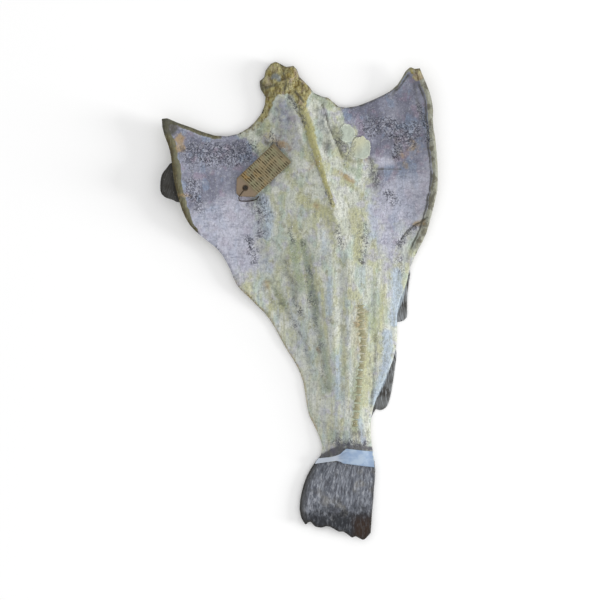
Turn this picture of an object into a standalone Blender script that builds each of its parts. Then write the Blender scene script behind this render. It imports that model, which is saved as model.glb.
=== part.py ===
"""A whole salted dried cod, headless, split along the belly and opened flat.

It lies skin side down with the flesh side up: +Y points to the neck, -Y to the
tail, +Z up out of the flesh. A card tag is stitched to the flesh by its thread
and a ribbon is wound round the root of the tail. Lengths below are drawn in
millimetres for a fish of DRAWN_LENGTH and turned into metres by MM.
"""

import math

import bmesh
import bpy
from mathutils import Matrix, Vector, noise
from mathutils.bvhtree import BVHTree
from mathutils.kdtree import KDTree

FISH_LENGTH = 0.718            # metres, from the neck bone to the end of the tail
DRAWN_LENGTH = 718.0
MM = FISH_LENGTH / DRAWN_LENGTH

ROWS = 54                      # faces along the body; across it, one for each drawn
                               # point of the front edge
RELAX_STEPS = 60               # smoothing passes that spread the columns evenly
EDGE_MARGIN = 2.0              # the passes keep the inner points this far from the edge
END_FADE = 4                   # how soon the shape of the two ends fades into the body
CURVE_STEPS = 12               # points on a curve between two drawn ones

MUSCLE_ROUNDNESS = 1.5         # 1 gives the back muscles a flat arch, more a peaked one
EDGE_ROUNDING = 16.0           # the flesh reaches its full thickness this far in
EDGE_SHARE = 0.42              # share of the muscle that is left at the very edge
RIM_HEIGHT = 2.5               # the collar bone stands this proud of the flap edge
RIM_ALONG, RIM_ACROSS = (110.0, 160.0), (90.0, 130.0)        # where it rises
UNEVEN_HEIGHT, UNEVEN_SIZE, UNEVEN_ALONG = 1.4, 38.0, (-260.0, -200.0)
CRUST_HEIGHT, CRUST_SIZE, CRUST_ALONG = 4.0, 17.0, (285.0, 320.0)

FLAP_START, FLAP_REACH = 78.0, 130.0       # distances from the middle of the back
FLAP_LIFT, FLAP_CURL = 17.0, 1.6           # the flap's rise, and the power it rises with
FLAT_WITHIN = 1e-4             # lower than this, the skin side is the face it rests on

FIN_THICKNESS, FIN_LIFT = 2.4, 0.8
FIN_SPANS = 3                  # edges of a fin for each drawn point

TAG_LENGTH, TAG_WIDTH, TAG_THICKNESS = 92.0, 39.0, 0.7
TAG_CENTRE = (-59.0, 189.0)
TAG_TURN = 43.0                # degrees from +X to the tag's long axis
TAG_CUT = 16.0                 # the corners cut off at the end with the hole
TAG_PROBES = 12                # places along and across the tag where the flesh is felt
HOLE_INSET, HOLE_RADIUS, HOLE_SIDES = 15.5, 2.9, 20
DRILL_LENGTH = 8.0
FAR_ABOVE = 200.0              # where the flesh is felt from
GAP = 0.4                      # left between pieces that touch

THREAD_RADIUS, THREAD_SPANS = 0.7, 28
# Where the thread runs, as (distance in from the tag's cut end, distance across from its
# middle line): first over the card, with a height above it, and then on the flesh.
THREAD_CROSSING = [(12, -1, 1.9), (3, -2.5, 1.9), (-1.5, -4, 0.95)]
THREAD_LAID = [(-3.5, -8), (0.5, -13), (6, -18), (12, -22)]

BAND_THICKNESS = 0.6
BAND_CLEARANCE = 1.0
BAND_ACROSS, BAND_AROUND = 4, 16

# ---------------------------------------------------------------- outline
# The four sides of the body, seen from above.
LEFT_EDGE = [
    (-206, 271), (-204, 252), (-195, 228), (-191, 205), (-188, 180), (-182, 155),
    (-173, 128), (-161, 108), (-145, 94), (-120, 73), (-104, 46), (-94, 22), (-70, -2),
    (-47, -26), (-33, -49), (-20, -73), (-5, -97), (5, -121), (10, -150), (14, -172),
    (24, -192), (32, -212), (35, -228), (24, -243), (11, -265), (3, -290), (0, -313),
    (3, -329), (9, -338),
]
RIGHT_EDGE = [
    (180, 347), (185, 335), (195, 311), (200, 287), (200, 263), (204, 239), (207, 203),
    (207, 167), (202, 143), (196, 119), (189, 96), (176, 71), (166, 47), (160, 22),
    (151, -1), (147, -25), (147, -50), (145, -73), (139, -95), (130, -116), (121, -136),
    (114, -153), (109, -170), (107, -190), (108, -212), (110, -226), (113, -243),
    (114, -262), (112, -283), (111, -301), (109, -320), (108, -337), (107, -350),
]
# From the left flap's tip, round the neck, to the right flap's tip.
FRONT_EDGE = [
    (-206, 271), (-198, 272), (-181, 265), (-163, 259), (-145, 252), (-127, 247),
    (-109, 246), (-92, 250), (-78, 258), (-66, 269), (-57, 281), (-52, 295), (-51, 307),
    (-59, 318), (-60, 329), (-53, 335), (-51, 345), (-43, 355), (-36, 358), (-27, 354),
    (-20, 350), (-9, 352), (-4, 346), (0, 335), (7, 328), (14, 321), (22, 311),
    (33, 306), (43, 304), (50, 298), (58, 291), (70, 289), (88, 292), (106, 299),
    (124, 307), (137, 314), (147, 323), (154, 334), (159, 343), (166, 349), (173, 346),
    (180, 347),
]
TAIL_EDGE = [
    (9, -338), (16, -333), (23, -340), (33, -342), (41, -340), (50, -343), (59, -348),
    (66, -348), (72, -352), (79, -357), (84, -355), (90, -358), (97, -360), (107, -350),
]

# The fins that stand out from under the edge, each drawn from its front end
# round its free edge and back along its root.
FINS = {
    "left_pectoral_fin": [
        (-190, 206), (-199, 197), (-206, 187), (-208, 173), (-207, 160), (-200, 153),
        (-190, 150), (-180, 146), (-166, 155), (-164, 175), (-170, 195),
    ],
    "front_anal_fin": [
        (150, 56), (166, 46), (164, 22), (162, -1), (162, -24), (158, -30), (150, -33),
        (140, -31), (128, -20), (124, 5), (130, 35),
    ],
    "rear_anal_fin": [
        (138, -66), (146, -78), (144, -100), (141, -121), (138, -139), (134, -155),
        (129, -163), (121, -166), (115, -164), (110, -173), (105, -181), (98, -174),
        (98, -150), (108, -120), (122, -86),
    ],
}

# ---------------------------------------------------------------- relief
# The middle of the back muscles, from the neck to the tail.
BACK_LINE = [
    (-22, 356), (4, 300), (22, 240), (37, 180), (48, 120), (57, 60), (62, 0), (66, -60),
    (70, -120), (72, -180), (72, -230), (62, -280), (55, -356),
]
# (y, muscle height, muscle half width, edge thickness, how high the underside is)
SECTIONS = [
    (360, 11, 62, 5.0, 3.0), (300, 14, 78, 5.0, 1.5), (250, 16, 98, 4.8, 0.0),
    (150, 19, 122, 4.6, 0.0), (50, 20, 118, 4.6, 0.0), (-50, 18, 86, 4.6, 0.0),
    (-120, 15, 64, 4.6, 0.0), (-180, 12, 50, 4.4, 0.6), (-225, 9, 46, 4.2, 2.2),
    (-260, 3.5, 50, 3.4, 3.6), (-300, 1.2, 56, 2.8, 4.6), (-360, 0.4, 60, 2.0, 8.0),
]

# Lines pressed into the flesh or standing out of it: (height, half width, path).
RIDGES = [
    (3.2, 9.0, [(2, 304), (16, 269), (29, 239), (39, 194), (50, 149), (58, 105)]),
    (2.2, 9.0, [(66, 90), (75, 52), (84, 15), (87, -40), (87, -100), (84, -170)]),
    (-3.0, 8.0, [(4, 90), (10, 50), (16, 10), (24, -30), (31, -80), (37, -140)]),
    (-2.2, 8.0, [(-32, 8), (-14, -25), (5, -65), (19, -110)]),
    (-2.4, 7.0, [(100, -60), (104, -100), (104, -140), (100, -175)]),
]


def catmull_rom(a, b, c, d, t):
    return 0.5 * (2 * b + (c - a) * t + (2 * a - 5 * b + 4 * c - d) * t * t
                  + (3 * b - a - 3 * c + d) * t * t * t)


def curve_through(drawn, closed=False):
    """Close-set points of the smooth curve through the drawn ones."""
    points = [Vector(point).to_3d() for point in drawn]
    if closed:
        around = [points[-1]] + points + points[:2]
    else:
        around = [2 * points[0] - points[1]] + points + [2 * points[-1] - points[-2]]
    curve = []
    for a, b, c, d in zip(around, around[1:], around[2:], around[3:]):
        curve += [catmull_rom(a, b, c, d, k / CURVE_STEPS) for k in range(CURVE_STEPS)]
    return curve if closed else curve + [points[-1]]


def evenly_spaced(curve, spans):
    """spans + 1 points spread evenly along a curve of close-set points."""
    reached = [0.0]
    for a, b in zip(curve, curve[1:]):
        reached.append(reached[-1] + (b - a).length)
    spaced, k = [], 0
    for step in range(spans + 1):
        wanted = reached[-1] * step / spans
        while k < len(curve) - 2 and reached[k + 1] < wanted:
            k += 1
        share = (wanted - reached[k]) / max(reached[k + 1] - reached[k], 1e-9)
        spaced.append(curve[k].lerp(curve[k + 1], min(share, 1.0)))
    return spaced


def smoothstep(low, high, value):
    t = min(max((value - low) / (high - low), 0.0), 1.0)
    return t * t * (3 - 2 * t)


def in_table(table, y):
    """A table's row at y, eased between the rows above and below it."""
    if y >= table[0][0]:
        return table[0][1:]
    for upper, lower in zip(table, table[1:]):
        if y >= lower[0]:
            t = smoothstep(upper[0], lower[0], y)
            return [a + (b - a) * t for a, b in zip(upper[1:], lower[1:])]
    return table[-1][1:]


def tree_of(points):
    tree = KDTree(len(points))
    for index, point in enumerate(points):
        tree.insert(point, index)
    tree.balance()
    return tree


def distance_to(tree, x, y):
    return tree.find((x, y, 0))[2]


def outline_points():
    """(point, direction into the body) all round the outline."""
    for side, turn in ((LEFT_EDGE, -1), (RIGHT_EDGE, 1), (FRONT_EDGE, 1), (TAIL_EDGE, -1)):
        curve = curve_through(side)
        for a, b in zip(curve, curve[1:]):
            along = (b - a).normalized()
            yield a, turn * Vector((along.y, -along.x, 0))


BACK_CURVE = curve_through(BACK_LINE)
RIDGE_TREES = [(height, half, tree_of(curve_through(path))) for height, half, path in RIDGES]
OUTLINE = list(outline_points())
OUTLINE_TREE = tree_of([point for point, _ in OUTLINE])


def back_x(y):
    """Where the middle of the back is, across the fish, at y."""
    for a, b in zip(BACK_CURVE, BACK_CURVE[1:]):
        if b.y <= y <= a.y:
            return a.lerp(b, (a.y - y) / (a.y - b.y)).x
    return BACK_CURVE[0].x if y > 0 else BACK_CURVE[-1].x


def underside(x, y):
    """Height of the skin side: flat under the back, the flaps curling up."""
    away = max(abs(x - back_x(y)) - FLAP_START, 0.0) / FLAP_REACH
    return in_table(SECTIONS, y)[3] + FLAP_LIFT * away ** FLAP_CURL


def thickness(x, y):
    """Thickness of the flesh, with its ridges, furrows and crust."""
    muscle, half, edge, _ = in_table(SECTIONS, y)
    across = min(abs(x - back_x(y)) / half, 1.0)
    inward = smoothstep(0.0, EDGE_ROUNDING, distance_to(OUTLINE_TREE, x, y))
    roundness = (1 - across ** 2) ** MUSCLE_ROUNDNESS
    body = muscle * roundness * (EDGE_SHARE + (1 - EDGE_SHARE) * inward)
    relief = sum(height * math.exp(-((distance_to(tree, x, y) / reach) ** 2))
                 for height, reach, tree in RIDGE_TREES)
    spot = Vector((x, y, 0))
    uneven = UNEVEN_HEIGHT * noise.noise(spot / UNEVEN_SIZE) * smoothstep(*UNEVEN_ALONG, y)
    crust = CRUST_HEIGHT * noise.noise(spot / CRUST_SIZE) * smoothstep(*CRUST_ALONG, y)
    on_collar = smoothstep(*RIM_ALONG, y) * smoothstep(*RIM_ACROSS, abs(x))
    rim = RIM_HEIGHT * (1 - inward) * on_collar
    return edge + body + (relief + uneven + crust) * inward + rim


def top_side(x, y):
    return underside(x, y) + thickness(x, y)


# ---------------------------------------------------------------- bodies
def material(name, colour, roughness):
    made = bpy.data.materials.new(name)
    made.use_nodes = True
    shader = made.node_tree.nodes["Principled BSDF"]
    shader.inputs["Base Color"].default_value = (*colour, 1.0)
    shader.inputs["Roughness"].default_value = roughness
    shader.inputs["Metallic"].default_value = 0.0
    return made


def object_from(bm, name, finish):
    """A named object in metres from a bmesh drawn in millimetres."""
    bmesh.ops.scale(bm, vec=(MM, MM, MM), verts=bm.verts)
    bmesh.ops.recalc_face_normals(bm, faces=bm.faces)
    mesh = bpy.data.meshes.new(name)
    bm.to_mesh(mesh)
    bm.free()
    mesh.materials.append(finish)
    made = bpy.data.objects.new(name, mesh)
    bpy.context.scene.collection.objects.link(made)
    return made


def keep_inside(vert):
    """Smoothing draws points across the hollow stretches of the edge: this puts them back."""
    index = OUTLINE_TREE.find(vert.co)[1]
    edge_point, inward = OUTLINE[index]
    depth = (vert.co - edge_point).dot(inward)
    if depth < EDGE_MARGIN:
        vert.co += (EDGE_MARGIN - depth) * inward


def body_grid():
    """A flat grid stretched to the outline. The ends' shapes fade into the body,
    then smoothing spreads the inner points so that no face is pinched."""
    columns = len(FRONT_EDGE) - 1
    bm = bmesh.new()
    bmesh.ops.create_grid(bm, x_segments=columns, y_segments=ROWS, size=0.5)
    left = evenly_spaced(curve_through(LEFT_EDGE), ROWS)
    right = evenly_spaced(curve_through(RIGHT_EDGE), ROWS)
    front = [Vector(point).to_3d() for point in FRONT_EDGE]
    tail = evenly_spaced(curve_through(TAIL_EDGE), columns)
    for vert in bm.verts:
        u, v = vert.co.x + 0.5, 0.5 - vert.co.y
        column, row = round(u * columns), round(v * ROWS)
        front_bulge = front[column] - left[0].lerp(right[0], u)
        tail_bulge = tail[column] - left[-1].lerp(right[-1], u)
        vert.co = (left[row].lerp(right[row], u)
                   + front_bulge * (1 - v) ** END_FADE + tail_bulge * v ** END_FADE)
    inner = [vert for vert in bm.verts if not vert.is_boundary]
    for _ in range(RELAX_STEPS):
        bmesh.ops.smooth_vert(bm, verts=inner, factor=0.5, use_axis_x=True, use_axis_y=True)
        for vert in inner:
            keep_inside(vert)
    return bm


def fish_body(finish):
    """The flat grid thickened: its first layer is the skin side, the second the flesh."""
    bm = body_grid()
    skin_faces = bm.faces[:]
    grown = bmesh.ops.extrude_face_region(bm, geom=skin_faces, use_keep_orig=True)
    flesh = {item for item in grown["geom"] if isinstance(item, bmesh.types.BMVert)}
    for vert in bm.verts:
        x, y, _ = vert.co
        vert.co.z = top_side(x, y) if vert in flesh else underside(x, y)
    flat = [face for face in skin_faces
            if all(vert.co.z < FLAT_WITHIN for vert in face.verts)]
    bmesh.ops.dissolve_faces(bm, faces=flat, use_verts=True)
    return object_from(bm, "cod", finish)


def plate(bm, corners, height):
    """A closed plate over the corners given, which are its lower face."""
    face = bm.faces.new([bm.verts.new(corner) for corner in corners])
    grown = bmesh.ops.extrude_face_region(bm, geom=[face], use_keep_orig=True)
    upper = [item for item in grown["geom"] if isinstance(item, bmesh.types.BMVert)]
    bmesh.ops.translate(bm, verts=upper, vec=(0, 0, height))


def cutter_only(tool):
    """Marks a tool that another piece's Boolean uses, and that isn't a piece itself."""
    tool.hide_render = True
    tool.display_type = "WIRE"


def boolean(piece, tool, operation):
    cutter_only(tool)
    step = piece.modifiers.new(tool.name, "BOOLEAN")
    step.operation = operation
    step.solver = "EXACT"
    step.object = tool


def fin_plate(name, outline, finish):
    """A thin plate that follows the skin side, its root buried in the flesh."""
    bm = bmesh.new()
    around = evenly_spaced(curve_through(outline, closed=True), FIN_SPANS * len(outline))[:-1]
    plate(bm, [(p.x, p.y, underside(p.x, p.y) + FIN_LIFT) for p in around], FIN_THICKNESS)
    return object_from(bm, name, finish)


def join_fins(fish, finish):
    """The fins grow out of the body, so each is joined to it as one solid."""
    for name, outline in FINS.items():
        boolean(fish, fin_plate(name, outline, finish), "UNION")


# ---------------------------------------------------------------- tag and thread
def on_tag(along, across, height=0.0):
    """A point of the fish's frame from one of the tag's own plane."""
    turned = Matrix.Rotation(math.radians(TAG_TURN), 3, "Z") @ Vector((along, across, 0))
    return Vector((*TAG_CENTRE, height)) + turned


def flesh_height(fish_tree, x, y):
    """Height of the finished flesh at (x, y), felt from above."""
    hit = fish_tree.ray_cast(Vector((x, y, FAR_ABOVE)) * MM, Vector((0, 0, -1)))[0]
    return hit.z / MM


def tag_plane(fish_tree):
    """(height, slope along, slope across) of the plane that lies on the highest flesh."""
    end, side = TAG_LENGTH / 2, TAG_WIDTH / 2

    def felt(along, across):
        spot = on_tag(along, across)
        return flesh_height(fish_tree, spot.x, spot.y)

    slope_along = (felt(end, 0) - felt(-end, 0)) / TAG_LENGTH
    slope_across = (felt(0, side) - felt(0, -side)) / TAG_WIDTH
    steps = [k / TAG_PROBES - 0.5 for k in range(TAG_PROBES + 1)]
    height = max(felt(a * TAG_LENGTH, b * TAG_WIDTH)
                 - slope_along * a * TAG_LENGTH - slope_across * b * TAG_WIDTH
                 for a in steps for b in steps)
    return height + GAP, slope_along, slope_across


def tag_height(plane, along, across):
    return plane[0] + plane[1] * along + plane[2] * across


def paper_tag(plane, finish):
    """A card plate with cut corners and a hole at one end, laid on the flesh."""
    end, side = TAG_LENGTH / 2, TAG_WIDTH / 2
    outline = [(end, -side), (end, side), (TAG_CUT - end, side), (-end, side - TAG_CUT),
               (-end, TAG_CUT - side), (TAG_CUT - end, -side)]
    bm = bmesh.new()
    plate(bm, [on_tag(a, b, tag_height(plane, a, b)) for a, b in outline], TAG_THICKNESS)
    tag = object_from(bm, "paper_tag", finish)

    drill = bmesh.new()
    bmesh.ops.create_cone(drill, cap_ends=True, segments=HOLE_SIDES, radius1=HOLE_RADIUS,
                          radius2=HOLE_RADIUS, depth=DRILL_LENGTH)
    inset = HOLE_INSET - end
    bmesh.ops.translate(drill, verts=drill.verts,
                        vec=on_tag(inset, 0, tag_height(plane, inset, 0)))
    boolean(tag, object_from(drill, "hole_drill", finish), "DIFFERENCE")
    return tag


def tag_thread(fish_tree, plane, finish):
    """The thread comes out of the flesh through the tag's hole, crosses the cut edge
    and lies along it on the flesh, where its end is drawn in."""
    hole, end = HOLE_INSET - TAG_LENGTH / 2, -TAG_LENGTH / 2

    def lowest(spot):
        return flesh_height(fish_tree, spot.x, spot.y) + GAP + THREAD_RADIUS

    def lying(along, across):
        return on_tag(along, across, lowest(on_tag(along, across)))

    def over(along, across, rise):
        return on_tag(along, across, tag_height(plane, along, across) + TAG_THICKNESS + rise)

    route = [lying(hole, 0), over(hole, 0, 0)]
    route += [over(end + inwards, across, rise) for inwards, across, rise in THREAD_CROSSING]
    route += [lying(end + inwards, across) for inwards, across in THREAD_LAID]
    path = evenly_spaced(curve_through(route), THREAD_SPANS)
    for place in path:
        place.z = max(place.z, lowest(place))
    curve = bpy.data.curves.new("tag_thread", "CURVE")
    curve.dimensions = "3D"
    curve.bevel_depth = THREAD_RADIUS * MM
    curve.bevel_resolution = 2
    curve.use_fill_caps = True
    spline = curve.splines.new("POLY")
    spline.points.add(len(path) - 1)
    for point, place in zip(spline.points, path):
        point.co = (*(place * MM), 1.0)
    curve.materials.append(finish)
    thread = bpy.data.objects.new("tag_thread", curve)
    bpy.context.scene.collection.objects.link(thread)
    return thread


# ---------------------------------------------------------------- tail band
# (share of the way from the left edge to the right, middle of the ribbon, half width)
BAND_OVER = [(0.0, -241, 4.4), (0.34, -235, 4.6), (0.46, -234, 11.4), (1.0, -239.5, 12.2)]
BAND_UNDER = [(0.0, -241, 4.4), (1.0, -239.5, 12.2)]


def edge_x(edge, y):
    """Where a side of the outline crosses y."""
    curve = curve_through(edge)
    return min(curve, key=lambda point: abs(point.y - y)).x


def band_loop(offset):
    """One line round the tail, offset of a half width from the ribbon's middle."""
    over, under = [], []
    for step in range(BAND_AROUND + 1):
        share = step / BAND_AROUND
        for table, line in ((BAND_OVER, over), (BAND_UNDER, under)):
            middle, half = in_table([(-s, *rest) for s, *rest in table], -share)
            y = middle + offset * half
            left, right = edge_x(LEFT_EDGE, y), edge_x(RIGHT_EDGE, y)
            x = left + (right - left) * share
            outward = BAND_CLEARANCE * (2 * share - 1)
            if table is BAND_OVER:
                line.append(Vector((x + outward, y, top_side(x, y) + BAND_CLEARANCE)))
            else:
                line.append(Vector((x + outward, y, underside(x, y) - BAND_CLEARANCE)))
    return over + under[::-1]


def tail_band(finish):
    """A ribbon wound once round the root of the tail, gathered narrow on its left."""
    bm = bmesh.new()
    edges = []
    for line in range(BAND_ACROSS + 1):
        points = [bm.verts.new(p) for p in band_loop(2 * line / BAND_ACROSS - 1)]
        edges.append([bm.edges.new(pair) for pair in zip(points, points[1:] + points[:1])])
    for lower, upper in zip(edges, edges[1:]):
        bmesh.ops.bridge_loops(bm, edges=lower + upper)
    band = object_from(bm, "tail_band", finish)
    wall = band.modifiers.new("wall", "SOLIDIFY")
    wall.thickness = BAND_THICKNESS * MM
    wall.offset = 1.0
    return band


def main():
    for old in list(bpy.data.objects):
        bpy.data.objects.remove(old, do_unlink=True)
    flesh = material("cod_flesh", (0.40, 0.42, 0.35), 0.7)
    fish = fish_body(flesh)
    join_fins(fish, flesh)
    fish_tree = BVHTree.FromObject(fish, bpy.context.evaluated_depsgraph_get())
    plane = tag_plane(fish_tree)
    paper_tag(plane, material("kraft_card", (0.22, 0.17, 0.12), 0.85))
    tag_thread(fish_tree, plane, material("dark_thread", (0.03, 0.03, 0.03), 0.8))
    tail_band(material("pale_ribbon", (0.36, 0.46, 0.58), 0.45))


main()
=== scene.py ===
# %% [markdown]
# # A whole salted dried cod
#
# The fish was headed, split down the belly, opened like a book, salted and dried. It
# lies on its skin with the flesh up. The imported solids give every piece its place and
# size; the cells below give each one its real surface, one cell a step.

# %% The frame
import math
import random

import bmesh
import bpy
import numpy as np
from mathutils import Matrix, Vector, noise
from mathutils.bvhtree import BVHTree
from mathutils.kdtree import KDTree


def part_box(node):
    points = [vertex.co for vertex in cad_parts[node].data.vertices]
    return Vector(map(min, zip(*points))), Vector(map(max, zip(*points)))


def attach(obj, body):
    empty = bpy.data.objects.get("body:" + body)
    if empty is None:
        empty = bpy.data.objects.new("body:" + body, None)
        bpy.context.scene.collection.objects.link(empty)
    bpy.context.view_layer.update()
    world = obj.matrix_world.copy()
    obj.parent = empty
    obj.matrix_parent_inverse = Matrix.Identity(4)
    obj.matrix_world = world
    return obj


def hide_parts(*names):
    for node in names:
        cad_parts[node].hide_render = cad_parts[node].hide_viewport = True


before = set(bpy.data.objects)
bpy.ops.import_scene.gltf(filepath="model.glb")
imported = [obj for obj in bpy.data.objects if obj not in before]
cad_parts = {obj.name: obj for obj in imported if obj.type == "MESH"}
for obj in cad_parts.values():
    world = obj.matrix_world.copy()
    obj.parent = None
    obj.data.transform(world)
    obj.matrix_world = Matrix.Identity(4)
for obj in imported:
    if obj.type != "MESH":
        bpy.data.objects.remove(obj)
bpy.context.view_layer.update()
COD_LOW, COD_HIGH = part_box("cod")
FISH_LENGTH_MM = 718.3
MM = (COD_HIGH.y - COD_LOW.y) / FISH_LENGTH_MM      # one of the fish's millimetres
DOWN, UP = Vector((0, 0, -1)), Vector((0, 0, 1))
print("frame:", sorted(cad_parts), "one mm is", round(MM, 6), "m")

# %% [markdown]
# ## Camera, floor and light
#
# A fish like this is looked at from straight above. A long lens keeps the raised flaps
# from leaning outwards. The floor is white and evenly lit by a white sky; one large,
# low light on the right models the ridges and lays a broad soft shadow to the left.

# %% Camera
VIEW_WIDTH = 900 * MM          # how much of the floor the picture takes in
CAMERA_HEIGHT = 3.2
CAMERA_ASIDE = 0.75 * MM
FILM_WIDTH = 36.0

scene = bpy.context.scene
camera = bpy.data.objects.new("camera", bpy.data.cameras.new("camera"))
scene.collection.objects.link(camera)
scene.camera = camera
middle_height = (COD_LOW.z + COD_HIGH.z) / 2
camera.location = (CAMERA_ASIDE, 0, CAMERA_HEIGHT)
camera.data.sensor_width = FILM_WIDTH
camera.data.lens = FILM_WIDTH * (CAMERA_HEIGHT - middle_height) / VIEW_WIDTH
camera.data.clip_end = 50
print("camera: lens", round(camera.data.lens, 1), "mm")

# %% Sky and low light
SKY = 0.945
LOW_LIGHT_POWER = 350.0
LOW_LIGHT_PLACE = Vector((6.0, -0.7, 1.4))
LOW_LIGHT_SIZE = 1.9

world = bpy.data.worlds.new("white_sky")
world.use_nodes = True
world.node_tree.nodes["Background"].inputs["Color"].default_value = (1, 1, 1, 1)
world.node_tree.nodes["Background"].inputs["Strength"].default_value = SKY
scene.world = world
scene.view_settings.view_transform = "Standard"

low_light = bpy.data.objects.new("low_light", bpy.data.lights.new("low_light", "AREA"))
scene.collection.objects.link(low_light)
low_light.data.energy = LOW_LIGHT_POWER
low_light.data.size = LOW_LIGHT_SIZE
low_light.location = LOW_LIGHT_PLACE
low_light.rotation_euler = LOW_LIGHT_PLACE.to_track_quat("Z", "Y").to_euler()
print("light: low light", round(LOW_LIGHT_PLACE.length, 1), "m away")

# %% Floor
FLOOR_SIZE = 14.0


def stage_floor():
    """A plain white floor at the height that the fish lies on."""
    bm = bmesh.new()
    bmesh.ops.create_grid(bm, x_segments=1, y_segments=1, size=FLOOR_SIZE / 2)
    mesh = bpy.data.meshes.new("floor")
    bm.to_mesh(mesh)
    bm.free()
    floor = bpy.data.objects.new("floor", mesh)
    scene.collection.objects.link(floor)
    white = bpy.data.materials.new("white_floor")
    white.use_nodes = True
    shader = white.node_tree.nodes["Principled BSDF"]
    shader.inputs["Base Color"].default_value = (0.9, 0.9, 0.9, 1)
    shader.inputs["Roughness"].default_value = 1.0
    shader.inputs["Specular IOR Level"].default_value = 0.0
    mesh.materials.append(white)
    return floor


floor = stage_floor()
floor.location.z = COD_LOW.z
print("floor: at", round(floor.location.z, 4))

# %% [markdown]
# ## Sums between shader nodes
#
# A dried fish is a patchwork: each colour comes in where some mask says. Wiring that
# by hand takes pages, so a node's output is wrapped in a class that knows sums, and
# `1 - mask` adds the Math node by itself. Colours go through Mix nodes instead.

# %% Node sums
class Value:
    """The output of a node. Sums and products of it add Math nodes beside it."""

    def __init__(self, finish, socket):
        self.finish, self.socket = finish, socket

    def sum(self, operation, first, second):
        return self.finish.node("Math", {"operation": operation}, {0: first, 1: second})

    def __add__(self, other):
        return self.sum("ADD", self, other)

    def __radd__(self, other):
        return self.sum("ADD", other, self)

    def __sub__(self, other):
        return self.sum("SUBTRACT", self, other)

    def __rsub__(self, other):
        return self.sum("SUBTRACT", other, self)

    def __mul__(self, other):
        return self.sum("MULTIPLY", self, other)

    def __rmul__(self, other):
        return self.sum("MULTIPLY", other, self)


# %% A finish and its nodes
DRY_SHINE = 0.2                # all of it is dry, so little light is mirrored


class Finish:
    """One material: a Principled shader and the nodes that feed it."""

    def __init__(self, name, roughness, **fixed):
        self.material = bpy.data.materials.new(name)
        self.material.use_nodes = True
        self.tree = self.material.node_tree
        self.shader = self.tree.nodes["Principled BSDF"]
        self.shader.inputs["Roughness"].default_value = roughness
        self.shader.inputs["Specular IOR Level"].default_value = DRY_SHINE
        for socket, value in fixed.items():
            self.shader.inputs[socket.replace("_", " ")].default_value = value

    def node(self, kind, settings, inputs, output=0):
        """Any other node: its settings come first, then what goes into its sockets."""
        made = self.tree.nodes.new("ShaderNode" + kind)
        for setting, value in settings.items():
            setattr(made, setting, value)
        for socket, value in inputs.items():
            if isinstance(value, Value):
                self.tree.links.new(value.socket, made.inputs[socket])
            else:
                made.inputs[socket].default_value = value
        return Value(self, made.outputs[output])

    def feed(self, socket, value):
        self.tree.links.new(value.socket, self.shader.inputs[socket])

    def place(self):
        return self.node("TexCoord", {}, {}, "Object")

    def attribute(self, name):
        return self.node("Attribute", {"attribute_name": name}, {}, "Fac")

    def vector(self, x, y, z=0.0):
        return self.node("CombineXYZ", {}, {0: x, 1: y, 2: z})

    def noise(self, size, vector, detail=3.0, rough=0.55, seed=0.0):
        """Clouds of 0 to 1 whose lumps are about size millimetres across."""
        settings = {"noise_dimensions": "4D"}
        return self.node("TexNoise", settings, {
            "Vector": vector, "W": seed, "Scale": 1 / (size * MM), "Detail": detail,
            "Roughness": rough})

    def stretched(self, vector, x, y, z=1.0):
        """The same place with its axes scaled, which draws a pattern out along one."""
        return self.node("VectorMath", {"operation": "MULTIPLY"}, {0: vector, 1: (x, y, z)})

    def crinkle(self, size, vector, width=0.05, seed=0.0):
        """Thin wandering lines, as where a drying surface has wrinkled."""
        cloud = self.noise(size, vector, 3.0, 0.6, seed)
        away = self.node("Math", {"operation": "ABSOLUTE"}, {0: cloud - 0.5})
        return self.ramp(away, width, 0.0)

    def ramp(self, value, low, high, start=0.0, end=1.0):
        """start below low, end above high, and a soft step between."""
        settings = {"interpolation_type": "SMOOTHSTEP"}
        return self.node("MapRange", settings, {
            "Value": value, "From Min": low, "From Max": high, "To Min": start,
            "To Max": end})

    def mix(self, factor, first, second, blend="MIX"):
        settings = {"data_type": "RGBA", "blend_type": blend}
        return self.node("Mix", settings, {0: factor, 6: first, 7: second}, 2)

    def bump(self, height, depth, strength=1.0):
        """Fine relief depth millimetres deep, which feeds the shader's normal."""
        self.feed("Normal", self.node("Bump", {}, {
            "Height": height, "Distance": depth * MM, "Strength": strength}))


# %% Colours
TOP_LIGHT = 1.0                # how bright a white card lying on the floor would look


def tone(red, green, blue):
    """The surface colour that looks like these screen values in this light."""
    screen = (channel / 255 for channel in (red, green, blue))
    linear = [c / 12.92 if c <= 0.04045 else ((c + 0.055) / 1.055) ** 2.4 for c in screen]
    return (*(c / TOP_LIGHT for c in linear), 1.0)


print("colours: mid grey is", [round(c, 3) for c in tone(128, 128, 128)])

# %% [markdown]
# ## Feeling the solid
#
# The fish's solid is the pattern that its visible surface is cut from. Rays cast down
# and up at a place give the height of the flesh and of the skin there. The fins are
# thin plates in the solid, and that is how they are told from the body.

# %% Heights of the solid
FAR = 1.0                      # metres above and below, where rays start
FIN_WALL = 3.4 * MM            # what is thinner than this, and in these places, is a fin
FINS_FROM, FINS_TO = -200 * MM, 215 * MM
FINS_BESIDE = 30 * MM


def solid_of(node):
    """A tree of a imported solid's faces, for casting rays at."""
    bm = bmesh.new()
    bm.from_mesh(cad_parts[node].data)
    tree = BVHTree.FromBMesh(bm)
    bm.free()
    return tree


COD_SOLID = solid_of("cod")


def heights(x, y):
    """(height of the flesh, height of the skin) at a place, or None beside the fish."""
    top = COD_SOLID.ray_cast(Vector((x, y, FAR)), DOWN)[0]
    if top is None:
        return None
    return top.z, COD_SOLID.ray_cast(Vector((x, y, -FAR)), UP)[0].z


def on_fish(x, y):
    return heights(x, y) is not None


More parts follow.
